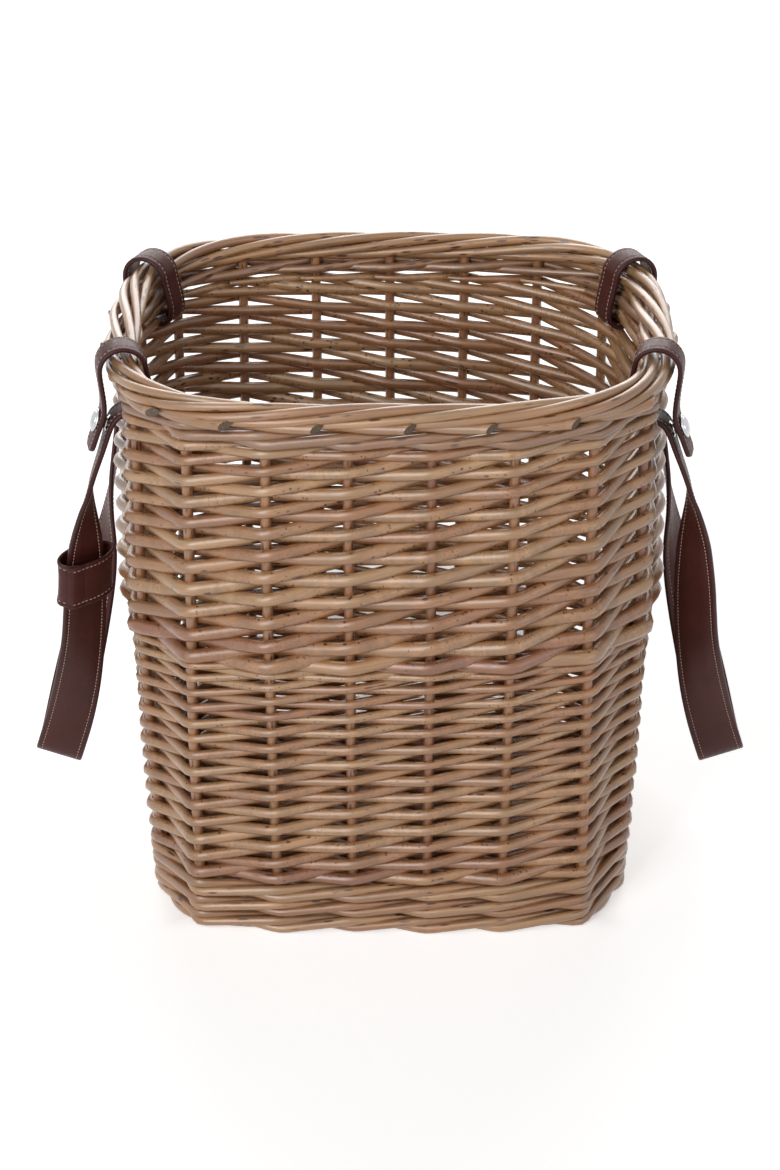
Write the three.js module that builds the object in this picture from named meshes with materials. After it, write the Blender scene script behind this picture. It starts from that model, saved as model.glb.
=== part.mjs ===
// An open picnic basket of woven willow with two leather carrying straps, hanging at its sides.
// Millimetres, +Z up. The origin lies under the middle of the basket, on the floor it stands on,
// and the front faces -Y.
import * as THREE from "three";
import { mergeVertices } from "three/addons/utils/BufferGeometryUtils.js";

// Clearances
const GAP = 0.3; // between pieces that touch
const ROW_GAP = 0.4; // between one row of weaving and the next

// The basket as a whole
const HEIGHT = 403;
const RIM_WIDTH = 380;
const RIM_DEPTH = 322;
const WALL_SET_IN = 2; // middle of the wall inside the middle line of the border
const BASE_WIDTH = 338; // over the bottom rods
const BASE_DEPTH = 294;
const SHOULDER_HEIGHT = 232; // the wall flares up to here and stands upright above
const WEAVE_CHANGE_HEIGHT = 209; // thin rods below, thicker ones above
const RIM_SQUARENESS = 3.4; // exponent of the rounded rectangle in plan: 2 is an ellipse
const BASE_SQUARENESS = 5;

// Willow rods
const STAKE_COUNT = 21; // odd, so that one rod weaves alternately lap after lap
const STAKE_RADIUS = 3.5;
const STAKE_TIP_RADIUS = 2.8;
const UPPER_ROD_RADIUS = 3.5;
const LOWER_ROD_RADIUS = 3;
const WALE_ROD_RADIUS = 3.5;
const BOTTOM_WALE_LAPS = 3;
const TOP_WALE_LAPS = 2;
const BORDER_RADIUS = 11;
const BORDER_ROD_COUNT = 4;
const BORDER_ROD_RADIUS = 4.2;
const BORDER_TURNS = 5; // how often each border rod winds round on its way about the rim
const ROD_SIDES = 4;
const STAKE_SIDES = 6;

// Base
const FOOT_HEIGHT = 6.6;
const FOOT_INSIDE = 18; // reach of the foot hoop inside the middle of the wall
const FOOT_OUTSIDE = 8; // and outside it
const FOOT_CHAMFER = 2.5;
const BASE_STICK_COUNT = 5;
const BASE_STICK_RADIUS = 3.5;
const BASE_ROD_RADIUS = 3;
const BASE_ROD_PITCH = 9;

// Leather
const LEATHER_THICKNESS = 3.2;
const LOOP_WIDTH = 22;
const STRAP_WIDTH = 34;
const LOOP_SLACK = 3; // air between the border and the leather round it
const LOOP_STAKE_GAPS = [4, 7]; // near and far loop, in gaps between stakes from the front middle
const SLOT_CLEARANCE = 0.6; // above and below the leather where it passes through the wall
const STRIP_DROP = 90; // flex line of the strap below the middle of the border
const STRIP_OUT = 27; // and outside it
const TAIL_LENGTH = 24; // straight end of the loop beside the strap
const LOOP_BEND = 6.4; // inside the wall, from level to upright
const LOOP_STEP = 30; // degrees between the points of the bend over the border
const STRAP_SPREAD = 238; // middle of the hanging strap's fold from the basket's middle
const STRAP_HANG = 26; // how far out a leg would come if it went on straight to the bottom
const STRAP_FOLD_HEIGHT = 50;
const STRAP_FOLD_RADIUS = 12;
const STRAP_FLEX_GAP = 0.8; // between a loop's end and the strap that flexes there
const FOLD_START = 60; // degrees either side of the lowest point where the legs run into the fold
const FOLD_STEP = 30;
const TWIST_END = 0.18; // share of a leg in which the strap turns halfway to the front
const STRAIGHT_END = 0.42; // share down to which it hangs straight, before it flicks outwards
const TWIST_ANGLE = THREE.MathUtils.degToRad(52);
const KEEPER_HEIGHT = 40;
const KEEPER_WALL = 2.2;
const KEEPER_CLEARANCE = 1;
const KEEPER_BELLY = 7; // from the strap's middle to the inside of the sleeve, front and back
const KEEPER_SIDES = 24;
const KEEPER_PLACE = 0.29; // share of the leg down to the middle of the keeper

// Press studs
const STUD_POST_LENGTH = 5; // gap between the loop's end and the strap
const STUD_POST_RADIUS = 4;
const STUD_CAP_RADIUS = 8;
const STUD_CAP_HEIGHT = 4;
const STUD_RIM_HEIGHT = 1;
const STUD_CROWN_RADIUS = 5.6; // where the cap's side runs into its crown
const STUD_CROWN_HEIGHT = 3.2;
const STUD_CAP_SIDES = 12;
const STUD_POST_SIDES = 8;
const STUD_PLACE = 9; // from the start of the straight end to the stud

const willow = { color: 0xb08a62, roughness: 0.6, metalness: 0 };
const darkWillow = { color: 0x8f5f38, roughness: 0.6, metalness: 0 };
const leather = { color: 0x4b2a28, roughness: 0.5, metalness: 0 };
const steel = { color: 0xd0d0d4, roughness: 0.2, metalness: 1 };

const UP = new THREE.Vector3(0, 0, 1);
const basket = new THREE.Group();

function addPiece(name, geometry, finish) {
  const mesh = new THREE.Mesh(geometry, new THREE.MeshStandardMaterial(finish));
  mesh.name = name;
  basket.add(mesh);
  return mesh;
}

// Closed skin over a row of rings of equally many points; the rings run counter-clockwise
// seen from the end of the row. A closed row joins its last ring to its first.
function skin(rings, closed) {
  const sides = rings[0].length;
  const points = rings.flat();
  const faces = [];
  const spans = closed ? rings.length : rings.length - 1;
  for (let ring = 0; ring < spans; ring++) {
    const here = ring * sides;
    const next = ((ring + 1) % rings.length) * sides;
    for (let side = 0; side < sides; side++) {
      const beside = (side + 1) % sides;
      faces.push(here + side, here + beside, next + beside);
      faces.push(here + side, next + beside, next + side);
    }
  }
  if (!closed) {
    const last = (rings.length - 1) * sides;
    for (let side = 1; side < sides - 1; side++) {
      faces.push(0, side + 1, side);
      faces.push(last, last + side, last + side + 1);
    }
  }
  const geometry = new THREE.BufferGeometry();
  geometry.setAttribute(
    "position",
    new THREE.Float32BufferAttribute(points.flatMap((p) => p.toArray()), 3),
  );
  geometry.setIndex(faces);
  return geometry;
}

function directionAt(points, index, closed) {
  const count = points.length;
  const before = closed ? (index + count - 1) % count : Math.max(index - 1, 0);
  const after = closed ? (index + 1) % count : Math.min(index + 1, count - 1);
  return points[after].clone().sub(points[before]).normalize();
}

// Rod of regular section along points. Each section has a corner towards the vector
// that cornerTowards gives for its point.
function rod(points, radiusAt, sides, cornerTowards, closed = false) {
  const rings = points.map((point, index) => {
    const along = directionAt(points, index, closed);
    const side = along.clone().cross(cornerTowards(index)).normalize();
    const corner = side.clone().cross(along);
    const ring = [];
    for (let k = 0; k < sides; k++) {
      const angle = (2 * Math.PI * k) / sides;
      ring.push(
        point
          .clone()
          .addScaledVector(corner, radiusAt(index) * Math.cos(angle))
          .addScaledVector(side, radiusAt(index) * Math.sin(angle)),
      );
    }
    return ring;
  });
  return skin(rings, closed);
}

// Flat band along points: widthwise gives the direction of its width at each point.
function band(points, widthAt, thickness, widthwise) {
  const rings = points.map((point, index) => {
    const along = directionAt(points, index, false);
    const across = widthwise(index).clone();
    const normal = along.clone().cross(across).normalize();
    const half = widthAt(index) / 2;
    const corner = (w, n) =>
      point.clone().addScaledVector(across, w * half).addScaledVector(normal, (n * thickness) / 2);
    return [corner(-1, -1), corner(1, -1), corner(1, 1), corner(-1, 1)];
  });
  return skin(rings, false);
}

// Plan of the wall: a rounded rectangle (superellipse) round the middle of the stakes.
const STAKE_REACH = STAKE_RADIUS + GAP;
const WALL_REACH = STAKE_REACH + 2 * WALE_ROD_RADIUS;
const BORDER_MIDDLE = HEIGHT - BORDER_RADIUS;

function wallPlan(z) {
  const share = THREE.MathUtils.clamp(z / SHOULDER_HEIGHT, 0, 1);
  const mix = (base, rim) => THREE.MathUtils.lerp(base, rim, share);
  return {
    a: mix(BASE_WIDTH / 2 - WALL_REACH, RIM_WIDTH / 2 - BORDER_RADIUS - WALL_SET_IN),
    b: mix(BASE_DEPTH / 2 - WALL_REACH, RIM_DEPTH / 2 - BORDER_RADIUS - WALL_SET_IN),
    n: mix(BASE_SQUARENESS, RIM_SQUARENESS),
  };
}

// Point of a plan at an angle counted from the front towards +X, moved outwards by offset.
function planPoint(plan, angle, z, offset) {
  const sine = Math.sin(angle);
  const cosine = Math.cos(angle);
  const { a, b, n } = plan;
  const reach = (Math.abs(sine) / a) ** n + (Math.abs(cosine) / b) ** n;
  const radius = reach ** (-1 / n);
  const x = radius * sine;
  const y = -radius * cosine;
  const normal = new THREE.Vector3(
    (Math.sign(x) * (Math.abs(x) / a) ** (n - 1)) / a,
    (Math.sign(y) * (Math.abs(y) / b) ** (n - 1)) / b,
    0,
  ).normalize();
  return { point: new THREE.Vector3(x, y, z).addScaledVector(normal, offset), normal };
}

// Angles that divide a plan into equal lengths, starting at the front middle.
function equalAngles(plan, count) {
  const steps = 3600;
  const lengths = [0];
  let last = planPoint(plan, 0, 0, 0).point;
  for (let step = 1; step <= steps; step++) {
    const next = planPoint(plan, (2 * Math.PI * step) / steps, 0, 0).point;
    lengths.push(lengths[step - 1] + next.distanceTo(last));
    last = next;
  }
  const angles = [];
  let step = 0;
  for (let k = 0; k < count; k++) {
    const target = (lengths[steps] * k) / count;
    while (lengths[step + 1] < target) step++;
    const part = (target - lengths[step]) / (lengths[step + 1] - lengths[step]);
    angles.push((2 * Math.PI * (step + part)) / steps);
  }
  return angles;
}

// Even numbers are the middles of the gaps between stakes, odd ones the stakes.
const HALF_GAP_ANGLES = equalAngles(wallPlan(HEIGHT), 2 * STAKE_COUNT);
const stakeAngle = (stake) => HALF_GAP_ANGLES[(2 * stake + 1) % (2 * STAKE_COUNT)];
const gapAngle = (gap) => HALF_GAP_ANGLES[(2 * gap) % (2 * STAKE_COUNT)];

// A woven rod: one spiral that passes each stake outside (1) or inside (-1), as passes says.
// A rod that goes round a stake on the outside of a corner stands off further, so that its
// straight spans clear the stake.
function wovenRod(startHeight, laps, pitch, radius, passes) {
  const points = [];
  const reach = STAKE_REACH + radius;
  for (let step = 0; step < laps * STAKE_COUNT; step++) {
    const stake = step % STAKE_COUNT;
    const z = startHeight + (pitch * step) / STAKE_COUNT;
    const at = (number) => planPoint(wallPlan(z), stakeAngle(number), z, 0);
    const here = at(stake);
    const side = passes(step, Math.floor(step / STAKE_COUNT));
    const slopes = [at(stake + STAKE_COUNT - 1), at(stake + 1)].map((neighbour) => {
      const turn = here.normal.angleTo(neighbour.normal) / 2;
      const lean = Math.atan((2 * reach) / here.point.distanceTo(neighbour.point));
      return Math.max(0, lean + side * turn);
    });
    const standOff = reach / Math.cos(Math.max(...slopes));
    points.push(here.point.addScaledVector(here.normal, side * standOff));
  }
  return rod(points, () => radius, ROD_SIDES, () => UP);
}

const randPass = (step) => (step % 2 === 0 ? 1 : -1);
const walePass = (step, lap) => {
  const stepUp = STAKE_COUNT % 3 === 0 ? lap : 0;
  return (step + stepUp) % 3 === 2 ? -1 : 1;
};

// Heights of the four bands of weaving. Each band is a spiral that starts where the last ends.
const pitchOf = (radius) => 2 * radius + ROW_GAP;
function startAbove(end, lowerRadius, radius, spare) {
  const drop = Math.min(pitchOf(lowerRadius), pitchOf(radius));
  return end - drop + lowerRadius + radius + spare;
}

const SLOT_HEIGHT = LEATHER_THICKNESS + 2 * SLOT_CLEARANCE;
const STAKE_FOOT = FOOT_HEIGHT + GAP;
const STAKE_TOP = HEIGHT - 2 * BORDER_RADIUS - GAP;
const topWaleStart = STAKE_TOP - WALE_ROD_RADIUS - TOP_WALE_LAPS * pitchOf(WALE_ROD_RADIUS);
const upperEnd =
  topWaleStart -
  WALE_ROD_RADIUS -
  SLOT_HEIGHT -
  UPPER_ROD_RADIUS +
  Math.min(pitchOf(WALE_ROD_RADIUS), pitchOf(UPPER_ROD_RADIUS));
const bottomWaleStart = STAKE_FOOT + WALE_ROD_RADIUS;
const bottomWaleEnd = bottomWaleStart + BOTTOM_WALE_LAPS * pitchOf(WALE_ROD_RADIUS);
const lowerStart = startAbove(bottomWaleEnd, WALE_ROD_RADIUS, LOWER_ROD_RADIUS, ROW_GAP);
const lowerLaps = Math.round((WEAVE_CHANGE_HEIGHT - lowerStart) / pitchOf(LOWER_ROD_RADIUS));
const lowerEnd = lowerStart + lowerLaps * pitchOf(LOWER_ROD_RADIUS);
const upperStart = startAbove(lowerEnd, LOWER_ROD_RADIUS, UPPER_ROD_RADIUS, ROW_GAP);
const upperLaps = Math.floor((upperEnd - upperStart) / pitchOf(UPPER_ROD_RADIUS));
const upperPitch = (upperEnd - upperStart) / upperLaps;

addPiece(
  "bottom_wale",
  wovenRod(bottomWaleStart, BOTTOM_WALE_LAPS, pitchOf(WALE_ROD_RADIUS), WALE_ROD_RADIUS, walePass),
  willow,
);
addPiece(
  "lower_weave",
  wovenRod(lowerStart, lowerLaps, pitchOf(LOWER_ROD_RADIUS), LOWER_ROD_RADIUS, randPass),
  willow,
);
addPiece(
  "upper_weave",
  wovenRod(upperStart, upperLaps, upperPitch, UPPER_ROD_RADIUS, randPass),
  willow,
);
addPiece(
  "top_wale",
  wovenRod(topWaleStart, TOP_WALE_LAPS, pitchOf(WALE_ROD_RADIUS), WALE_ROD_RADIUS, walePass),
  darkWillow,
);

// Stakes stand on the foot hoop and taper a little to the border above.
const FLARE_STEPS = 4;
const STAKE_HEIGHTS = [];
for (let step = 0; step <= FLARE_STEPS; step++) {
  STAKE_HEIGHTS.push(THREE.MathUtils.lerp(STAKE_FOOT, SHOULDER_HEIGHT, step / FLARE_STEPS));
}
STAKE_HEIGHTS.push(STAKE_TOP);
for (let stake = 0; stake < STAKE_COUNT; stake++) {
  const points = STAKE_HEIGHTS.map(
    (z) => planPoint(wallPlan(z), stakeAngle(stake), z, 0).point,
  );
  const outwards = planPoint(wallPlan(HEIGHT), stakeAngle(stake), 0, 0).normal;
  const taper = (index) =>
    THREE.MathUtils.mapLinear(points[index].z, STAKE_FOOT, STAKE_TOP, STAKE_RADIUS, STAKE_TIP_RADIUS);
  addPiece(
    `stake_${String(stake + 1).padStart(2, "0")}`,
    rod(points, taper, STAKE_SIDES, () => outwards),
    willow,
  );
}

// Border: rods laid round each other like the strands of a rope, closed about the rim.
const borderPlan = {
  a: RIM_WIDTH / 2 - BORDER_RADIUS,
  b: RIM_DEPTH / 2 - BORDER_RADIUS,
  n: RIM_SQUARENESS,
};
const BORDER_STEPS = 2 * STAKE_COUNT;
for (let strand = 0; strand < BORDER_ROD_COUNT; strand++) {
  const points = HALF_GAP_ANGLES.map((angle, step) => {
    const { point, normal } = planPoint(borderPlan, angle, BORDER_MIDDLE, 0);
    const turns = (BORDER_TURNS * step) / BORDER_STEPS + strand / BORDER_ROD_COUNT;
    const winding = 2 * Math.PI * turns;
    const fromMiddle = BORDER_RADIUS - BORDER_ROD_RADIUS;
    return point
      .addScaledVector(normal, fromMiddle * Math.cos(winding))
      .addScaledVector(UP, fromMiddle * Math.sin(winding));
  });
  addPiece(
    `border_rod_${strand + 1}`,
    rod(points, () => BORDER_ROD_RADIUS, ROD_SIDES, () => UP, true),
    willow,
  );
}

// Foot: a low hoop with a flat underside that the basket stands on.
const basePlan = wallPlan(0);
const footRings = HALF_GAP_ANGLES.map((angle) => {
  const profile = [
    [FOOT_OUTSIDE - FOOT_CHAMFER, 0],
    [FOOT_OUTSIDE, FOOT_CHAMFER],
    [FOOT_OUTSIDE - FOOT_CHAMFER, FOOT_HEIGHT],
    [-FOOT_INSIDE, FOOT_HEIGHT],
    [-FOOT_INSIDE, FOOT_CHAMFER],
    [FOOT_CHAMFER - FOOT_INSIDE, 0],
  ];
  return profile.map(([offset, z]) => planPoint(basePlan, angle, z, offset).point).reverse();
});
addPiece("foot_hoop", skin(footRings, true), willow);

// Base: sticks from front to back, and one long rod woven to and fro through them.
const BASE_MIDDLE = FOOT_HEIGHT + GAP + BASE_STICK_RADIUS;
const stickEndInset = WALL_REACH + 2 * GAP;
const inside = (inset) => ({ a: basePlan.a - inset, b: basePlan.b - inset, n: basePlan.n });
const across = (half, share, n) => half * Math.max(0, 1 - Math.abs(share) ** n) ** (1 / n);

const stickPlan = inside(stickEndInset);
const stickSpacing = (2 * basePlan.a) / (BASE_STICK_COUNT + 1);
const stickPlaces = [];
for (let stick = 0; stick < BASE_STICK_COUNT; stick++) {
  const x = (stick - (BASE_STICK_COUNT - 1) / 2) * stickSpacing;
  const reach = across(stickPlan.b, x / stickPlan.a, stickPlan.n);
  const ends = [-reach, reach].map((y) => new THREE.Vector3(x, y, BASE_MIDDLE));
  stickPlaces.push(x);
  addPiece(
    `base_stick_${stick + 1}`,
    rod(ends, () => BASE_STICK_RADIUS, STAKE_SIDES, () => UP),
    willow,
  );
}

const turnPlan = inside(FOOT_INSIDE + GAP + 2 * BASE_ROD_RADIUS);
const overStick = BASE_STICK_RADIUS + BASE_ROD_RADIUS + GAP;
const outerTurn = stickPlaces.at(-1) + 2 * overStick;
const rowReach = across(turnPlan.b, outerTurn / turnPlan.a, turnPlan.n);
const passCount = Math.floor((2 * rowReach) / BASE_ROD_PITCH) + 1;
const baseRodPoints = [];
for (let pass = 0; pass < passCount; pass++) {
  const y = (pass - (passCount - 1) / 2) * BASE_ROD_PITCH;
  const way = pass % 2 === 0 ? 1 : -1;
  const turn = across(turnPlan.a, y / turnPlan.b, turnPlan.n);
  const crossings = stickPlaces.map((x, stick) => {
    const over = (stick + pass) % 2 === 0 ? 1 : -1;
    return new THREE.Vector3(x, y, BASE_MIDDLE + over * overStick);
  });
  const ends = [-turn, turn].map((x) => new THREE.Vector3(x, y, BASE_MIDDLE));
  const row = [ends[0], ...crossings, ends[1]];
  baseRodPoints.push(...(way === 1 ? row : row.reverse()));
}
addPiece(
  "base_weave",
  rod(baseRodPoints, () => BASE_ROD_RADIUS, ROD_SIDES, () => UP),
  willow,
);

// Leather loops: the ends of each carrying strap go through the wall under the top wale, up
// the inside, over the border and down outside to a press stud.
const slotMiddle = (gap) =>
  topWaleStart -
  WALE_ROD_RADIUS -
  SLOT_HEIGHT / 2 +
  (pitchOf(WALE_ROD_RADIUS) * (gap - 0.5)) / STAKE_COUNT;
const loopRadius = BORDER_RADIUS + LOOP_SLACK + LEATHER_THICKNESS / 2;

// One loop's own plane: out points away from the basket, along lies in the rim. The woven rods
// run straight from stake to stake, so the wall lies a little inside the border there.
function loopFrame(gap) {
  const { point, normal } = planPoint(borderPlan, gapAngle(gap), BORDER_MIDDLE, 0);
  const place = (out, up) => point.clone().addScaledVector(normal, out).addScaledVector(UP, up);
  const stakes = [gap - 1, gap].map(
    (stake) => planPoint(wallPlan(HEIGHT), stakeAngle(stake), BORDER_MIDDLE, 0).point,
  );
  const wallOut = stakes[0].lerp(stakes[1], 0.5).sub(point).dot(normal);
  return { gap, place, wallOut, out: normal, along: UP.clone().cross(normal) };
}

// Outline of a loop in its plane, from the flex line through the wall and round to its tail.
// Each entry holds the way out, the way up and whether the leather lies along the flex line.
function loopOutline(frame, flexLine) {
  const { wallOut } = frame;
  const slot = slotMiddle(frame.gap) - BORDER_MIDDLE;
  const halfWall = STAKE_REACH + LEATHER_THICKNESS;
  const start = new THREE.Vector2(STRIP_OUT, -STRIP_DROP);
  const leave = new THREE.Vector2(
    wallOut + halfWall + LEATHER_THICKNESS,
    slot - LEATHER_THICKNESS / 2,
  );
  const down = start.clone().sub(leave).normalize();
  const outer = new THREE.Vector2(-down.y, down.x);
  const inSpace = (v) => frame.out.clone().multiplyScalar(v.x).addScaledVector(UP, v.y);
  const face = inSpace(down).cross(flexLine).normalize();
  const facing = Math.abs(face.dot(inSpace(outer)));
  const tailStart = leave
    .clone()
    .addScaledVector(outer, (LEATHER_THICKNESS + STUD_POST_LENGTH) / facing);
  const tailEnd = tailStart.clone().addScaledVector(down, TAIL_LENGTH);
  const stud = tailStart.clone().addScaledVector(down, STUD_PLACE);
  const arc = [];
  for (let degrees = 180; degrees >= 0; degrees -= LOOP_STEP) {
    const angle = THREE.MathUtils.degToRad(degrees);
    arc.push([loopRadius * Math.cos(angle), loopRadius * Math.sin(angle), 0]);
  }
  const outline = [
    [start.x, start.y, 1],
    [leave.x, leave.y, 1],
    [wallOut + halfWall, slot, 0],
    [wallOut - halfWall, slot, 0],
    [wallOut - halfWall - LOOP_BEND, slot + LOOP_BEND, 0],
    ...arc,
    [tailStart.x, tailStart.y, 1],
    [stud.x, stud.y, 1],
    [tailEnd.x, tailEnd.y, 1],
  ];
  return { outline, studIndex: outline.length - 2 };
}

// A disc, post or dome on a line: a lathe profile stood on a point and turned to a direction.
function addTurned(name, profile, segments, point, direction, finish) {
  const lathe = new THREE.LatheGeometry(profile, segments);
  lathe.deleteAttribute("normal");
  lathe.deleteAttribute("uv");
  const piece = addPiece(name, mergeVertices(lathe), finish);
  piece.position.copy(point);
  piece.quaternion.setFromUnitVectors(new THREE.Vector3(0, 1, 0), direction);
}

const capProfile = [
  new THREE.Vector2(0, 0),
  new THREE.Vector2(STUD_CAP_RADIUS, 0),
  new THREE.Vector2(STUD_CAP_RADIUS, STUD_RIM_HEIGHT),
  new THREE.Vector2(STUD_CROWN_RADIUS, STUD_CROWN_HEIGHT),
  new THREE.Vector2(0, STUD_CAP_HEIGHT),
];
const postProfile = [
  new THREE.Vector2(0, GAP),
  new THREE.Vector2(STUD_POST_RADIUS, GAP),
  new THREE.Vector2(STUD_POST_RADIUS, STUD_POST_LENGTH - GAP),
  new THREE.Vector2(0, STUD_POST_LENGTH - GAP),
];

// A carrying strap hangs from its two loops in a V that is folded round at the bottom. Each leg
// leaves its loop edge-on to the front and turns halfway; then it hangs straight, and below
// that it turns to face the front and flicks away from the basket.
const TWIST_STEPS = 4;
const FLICK_STEPS = 3;
const legShares = [];
for (let step = 0; step <= TWIST_STEPS; step++) {
  legShares.push((TWIST_END * step) / TWIST_STEPS);
}
for (let step = 0; step <= FLICK_STEPS; step++) {
  legShares.push(THREE.MathUtils.lerp(STRAIGHT_END, 1, step / FLICK_STEPS));
}

function twistAt(share) {
  const turning = TWIST_ANGLE * THREE.MathUtils.smoothstep(share, 0, TWIST_END);
  const settling = THREE.MathUtils.smoothstep(share, STRAIGHT_END, 1);
  return THREE.MathUtils.lerp(turning, Math.PI / 2, settling);
}

const flickAt = (share) => Math.max(0, share - STRAIGHT_END) / (1 - STRAIGHT_END);

function hangingStrap(flexPoints, flexLine, outwards) {
  const fold = flexPoints[0].clone().add(flexPoints[1]).multiplyScalar(0.5);
  const drop = fold.z - STRAP_FOLD_HEIGHT - STRAP_FOLD_RADIUS;
  const flick = Math.abs(STRAP_SPREAD - Math.abs(fold.x)) - STRAP_HANG;
  fold.addScaledVector(outwards, STRAP_HANG + flick).addScaledVector(UP, -drop);
  const tiltAt = (share) =>
    Math.atan2(STRAP_HANG + (2 * flick * flickAt(share)) / (1 - STRAIGHT_END), drop);
  const tilted = (across, up, tilt) =>
    outwards
      .clone()
      .multiplyScalar(across * Math.cos(tilt) - up * Math.sin(tilt))
      .addScaledVector(UP, across * Math.sin(tilt) + up * Math.cos(tilt));
  const onFold = (degrees) => {
    const angle = THREE.MathUtils.degToRad(degrees);
    return fold
      .clone()
      .addScaledVector(flexLine, STRAP_FOLD_RADIUS * Math.sin(angle))
      .addScaledVector(tilted(0, -1, tiltAt(1)), STRAP_FOLD_RADIUS * Math.cos(angle));
  };
  const leg = (end) => {
    const towards = end === 0 ? -1 : 1;
    const bottom = onFold(towards * FOLD_START);
    const hanging = bottom.clone().sub(flexPoints[end]);
    const flickOut = hanging.dot(outwards) - STRAP_HANG;
    const along = hanging.addScaledVector(outwards, -flickOut).clone().normalize();
    const top = flexPoints[end].clone().addScaledVector(along, STRAP_FLEX_GAP);
    const at = (share) =>
      top
        .clone()
        .addScaledVector(along, (hanging.length() - STRAP_FLEX_GAP) * share)
        .addScaledVector(outwards, flickOut * flickAt(share) ** 2);
    const widthwise = (share) =>
      flexLine
        .clone()
        .multiplyScalar(towards * Math.cos(twistAt(share)))
        .addScaledVector(tilted(1, 0, tiltAt(share)), Math.sin(twistAt(share)));
    return { at, along, widthwise };
  };
  const legs = [leg(0), leg(1)];
  const widthOf = (share) =>
    THREE.MathUtils.lerp(LOOP_WIDTH, STRAP_WIDTH, THREE.MathUtils.smoothstep(share, 0, TWIST_END));
  const points = [];
  const widths = [];
  const directions = [];
  const addLeg = (end, shares) =>
    shares.forEach((share) => {
      points.push(legs[end].at(share));
      widths.push(widthOf(share));
      directions.push(legs[end].widthwise(share));
    });
  addLeg(0, legShares);
  for (let degrees = -FOLD_START + FOLD_STEP; degrees < FOLD_START; degrees += FOLD_STEP) {
    points.push(onFold(degrees));
    widths.push(STRAP_WIDTH);
    directions.push(legs[0].widthwise(1));
  }
  addLeg(1, legShares.toReversed());
  const geometry = band(
    points,
    (index) => widths[index],
    LEATHER_THICKNESS,
    (index) => directions[index],
  );
  return { geometry, legs };
}

// Keeper: an oval leather sleeve that slides on the front leg of the left strap.
function addKeeper(leg) {
  const oval = (path, wall) =>
    path.absellipse(
      0,
      0,
      STRAP_WIDTH / 2 + KEEPER_CLEARANCE + wall,
      KEEPER_BELLY + wall,
      0,
      2 * Math.PI,
      false,
      0,
    );
  const sleeve = oval(new THREE.Shape(), KEEPER_WALL);
  sleeve.holes.push(oval(new THREE.Path(), 0));
  const keeper = addPiece(
    "strap_keeper",
    new THREE.ExtrudeGeometry(sleeve, {
      depth: KEEPER_HEIGHT,
      bevelEnabled: false,
      curveSegments: KEEPER_SIDES,
    }),
    leather,
  );
  const wide = leg.widthwise(KEEPER_PLACE);
  wide.addScaledVector(leg.along, -wide.dot(leg.along)).normalize();
  const through = leg.along.clone().cross(wide);
  keeper.quaternion.setFromRotationMatrix(
    new THREE.Matrix4().makeBasis(wide, through, leg.along),
  );
  keeper.position.copy(leg.at(KEEPER_PLACE)).addScaledVector(leg.along, -KEEPER_HEIGHT / 2);
}

// Everything on one side: two loops with their press studs, and the strap that hangs from them.
function addStrap(sideName, gaps) {
  const frames = gaps.map(loopFrame);
  const flexPoints = frames.map((frame) => frame.place(STRIP_OUT, -STRIP_DROP));
  const flexLine = flexPoints[1].clone().sub(flexPoints[0]).normalize();
  const outwards = flexLine.clone().cross(UP);
  outwards.multiplyScalar(Math.sign(outwards.dot(frames[0].out))).normalize();

  frames.forEach((frame, end) => {
    const { outline, studIndex } = loopOutline(frame, flexLine);
    const rimwise = frame.along.clone().multiplyScalar(Math.sign(frame.along.dot(flexLine)));
    const points = outline.map(([out, up]) => frame.place(out, up));
    const lying = outline.map(([, , flexed]) => (flexed ? flexLine : rimwise));
    const endName = `${sideName}_${end === 0 ? "near" : "far"}`;
    addPiece(
      `strap_loop_${endName}`,
      band(points, () => LOOP_WIDTH, LEATHER_THICKNESS, (index) => lying[index]),
      leather,
    );
    const face = directionAt(points, studIndex, false).cross(flexLine).normalize();
    face.multiplyScalar(Math.sign(face.dot(frame.out)));
    const onTail = (depth) => points[studIndex].clone().addScaledVector(face, depth);
    const capSeat = onTail(LEATHER_THICKNESS / 2 + GAP);
    const postFoot = onTail(-LEATHER_THICKNESS / 2 - STUD_POST_LENGTH);
    addTurned(`press_stud_cap_${endName}`, capProfile, STUD_CAP_SIDES, capSeat, face, steel);
    addTurned(`press_stud_post_${endName}`, postProfile, STUD_POST_SIDES, postFoot, face, steel);
  });

  const strap = hangingStrap(flexPoints, flexLine, outwards);
  addPiece(`handle_strap_${sideName}`, strap.geometry, leather);
  return strap;
}

addStrap("right", LOOP_STAKE_GAPS);
const leftStrap = addStrap(
  "left",
  LOOP_STAKE_GAPS.map((gap) => STAKE_COUNT - gap),
);
addKeeper(leftStrap.legs[0]);

export default basket;
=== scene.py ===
# %% [markdown]
# # A willow picnic basket with leather straps
#
# In this lesson a CAD part is dressed in Blender. The part already says where everything is and
# how the straps swing; here every willow rod, strap and stud gets the shape and the finish that
# the real one shows. Lengths are in metres, +Z is up and the front of the basket faces -Y.
# The first cell loads the part, whose pieces give the places and sizes used below.

# %% Load the frame
import math

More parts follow.
